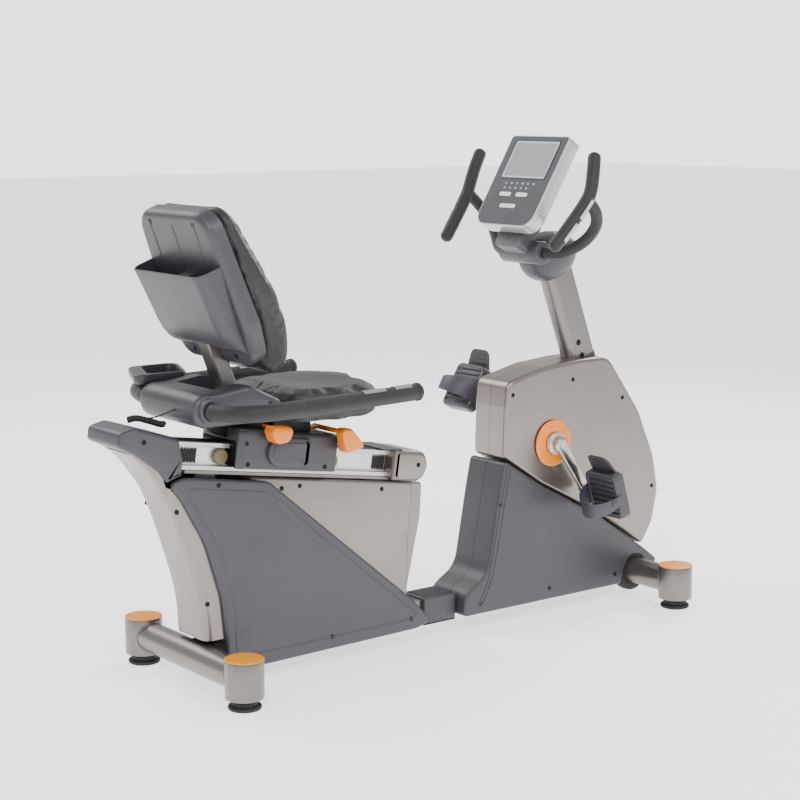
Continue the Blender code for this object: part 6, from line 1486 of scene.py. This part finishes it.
def strapShape(view):
    # a band under tension over the foot: a sine arch, wide inboard and narrow outboard
    steps = np.linspace(0, 1, 41)
    turn = math.pi * steps
    across = -(0.0500 + 0.0010) * np.cos(turn)
    out = 0.004 + 0.0615 * np.sin(turn) ** 0.8
    width = 0.026 - 0.014 * steps
    middle = -0.006 - 0.010 * np.sin(turn)
    tangent = np.stack([np.gradient(across), np.gradient(out)], 1)
    tangent /= np.linalg.norm(tangent, axis=1, keepdims=True)
    inward = np.stack([tangent[:, 1], -tangent[:, 0]], 1)
    rings = []
    for lateral, lift in ((-1, 0.0), (-0.97, 0.5), (-0.90, 1), (0.90, 1), (0.97, 0.5), (1, 0.0), (0.97, -0.5),
                          (0.90, -1), (-0.90, -1), (-0.97, -0.5)):
        c = across - inward[:, 0] * lift * 0.0014
        b = out - inward[:, 1] * lift * 0.0014
        a = middle + lateral * width
        rings.append(np.stack([view(x, y, z) for x, y, z in zip(a, b, c)]))
    return gridShape(np.stack(rings, axis=1))


for side in ("left", "right"):
    view = pedalView(side)
    makePiece(f"pedalBody_{side}", pedalShapes(view), "texturedAbs", f"pedal_{side}", [f"pedal_{side}"])
    strap = strapShape(view)
    parts = [strap]
    # a round-ended tab with its stud on the outboard side
    tab = arcLoop([(-0.014, 0.006, 0.0065), (0.004, 0.006, 0.0065), (0.004, 0.034, 0.0085),
                   (-0.014, 0.034, 0.0085)], 6)
    parts.append(layered(tab, [(0.0495, 0.0), (0.0525, 0.0), (0.0535, 0.0012)], view))
    parts.append(turned([(0, 0.0), (0.0052, 0.0), (0.0052, 0.0020), (0.0040, 0.0032), (0, 0.0034)],
                        view(-0.005, 0.024, 0.0530), view(0, 0, 1) - view(0, 0, 0), 24))
    makePiece(f"pedalStrap_{side}", together(parts), "pedalPvc", f"pedal_{side}")
    pin = turned([(0, 0.0), (0.0044, 0.0), (0.0044, 0.060), (0, 0.060)], view(0, 0, -0.078),
                 view(0, 0, 1) - view(0, 0, 0), 24)
    makePiece(f"pedalPin_{side}", pin, "platedSteel", f"pedal_{side}")
print("cranks and pedals made")


# Curly sensor cord on the top cap
cordSize = {"coilRadius": 0.0066, "wire": 0.0021, "turns": 28}
cordKnots = np.array([(-0.0615, -0.042, 0.744), (-0.0700, -0.040, 0.741), (-0.112, -0.020, 0.7255),
                      (-0.150, -0.008, 0.7262), (-0.170, -0.004, 0.7250), (-0.178, -0.004, 0.7235)])
coilPath = throughKnots([(rearX + x, y, z) for x, y, z in
                         ((-0.178, -0.004, 0.7235), (-0.166, -0.008, 0.7265), (-0.152, -0.012, 0.7262),
                          (-0.132, -0.016, 0.7200), (-0.112, -0.018, 0.7130), (-0.094, -0.018, 0.7065),
                          (-0.079, -0.014, 0.7040))], 80)
tangent = np.gradient(coilPath, axis=0)
tangent /= np.linalg.norm(tangent, axis=1, keepdims=True)
first = np.cross(tangent, (0, 0, 1.0))
first /= np.linalg.norm(first, axis=1, keepdims=True)
second = np.cross(tangent, first)
# a helix: the point goes round the path by 2 pi per turn
phase = np.linspace(0, 2 * math.pi * cordSize["turns"], len(coilPath))
coil = coilPath + cordSize["coilRadius"] * (first * np.cos(phase)[:, None] + second * np.sin(phase)[:, None])
yokeLead = throughKnots(cordKnots + (rearX, 0, 0), 10)
cordPiece = makePiece("curlyLead", together([tube(coil, cordSize["wire"], 8, hint=(0.13, 0.9, 0.3)),
                                             tube(yokeLead, cordSize["wire"], 10, hint=(0.1, 0.2, 1))]),
                      "mouldedRubber", None, ["sensor_cord"])
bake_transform(cordPiece)
print("sensor cord made")


# Screws: a countersunk black head with a hexagon socket, a little below the surface
def screwShape(point, direction, radius):
    flat = [(0.0, 0.0004), (radius * 0.42, 0.0004), (radius * 0.46, 0.0010), (radius * 0.80, 0.0012),
            (radius, 0.0006), (radius * 1.04, 0.0), (radius * 1.04, -0.002)]
    head = turned(flat[::-1], point, direction, 24)
    hexagon = turned([(radius * 0.40, 0.0002), (radius * 0.40, 0.0013), (radius * 0.30, 0.0013),
                      (radius * 0.30, 0.0002)], point, direction, 6)
    return together([head, hexagon])


for body, places in screwPlaces.items():
    makePiece(f"screws_{body}", together([screwShape(*entry) for entry in places]), "blackOxide", body)
print("screws made:", sum(len(places) for places in screwPlaces.values()))

low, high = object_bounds()
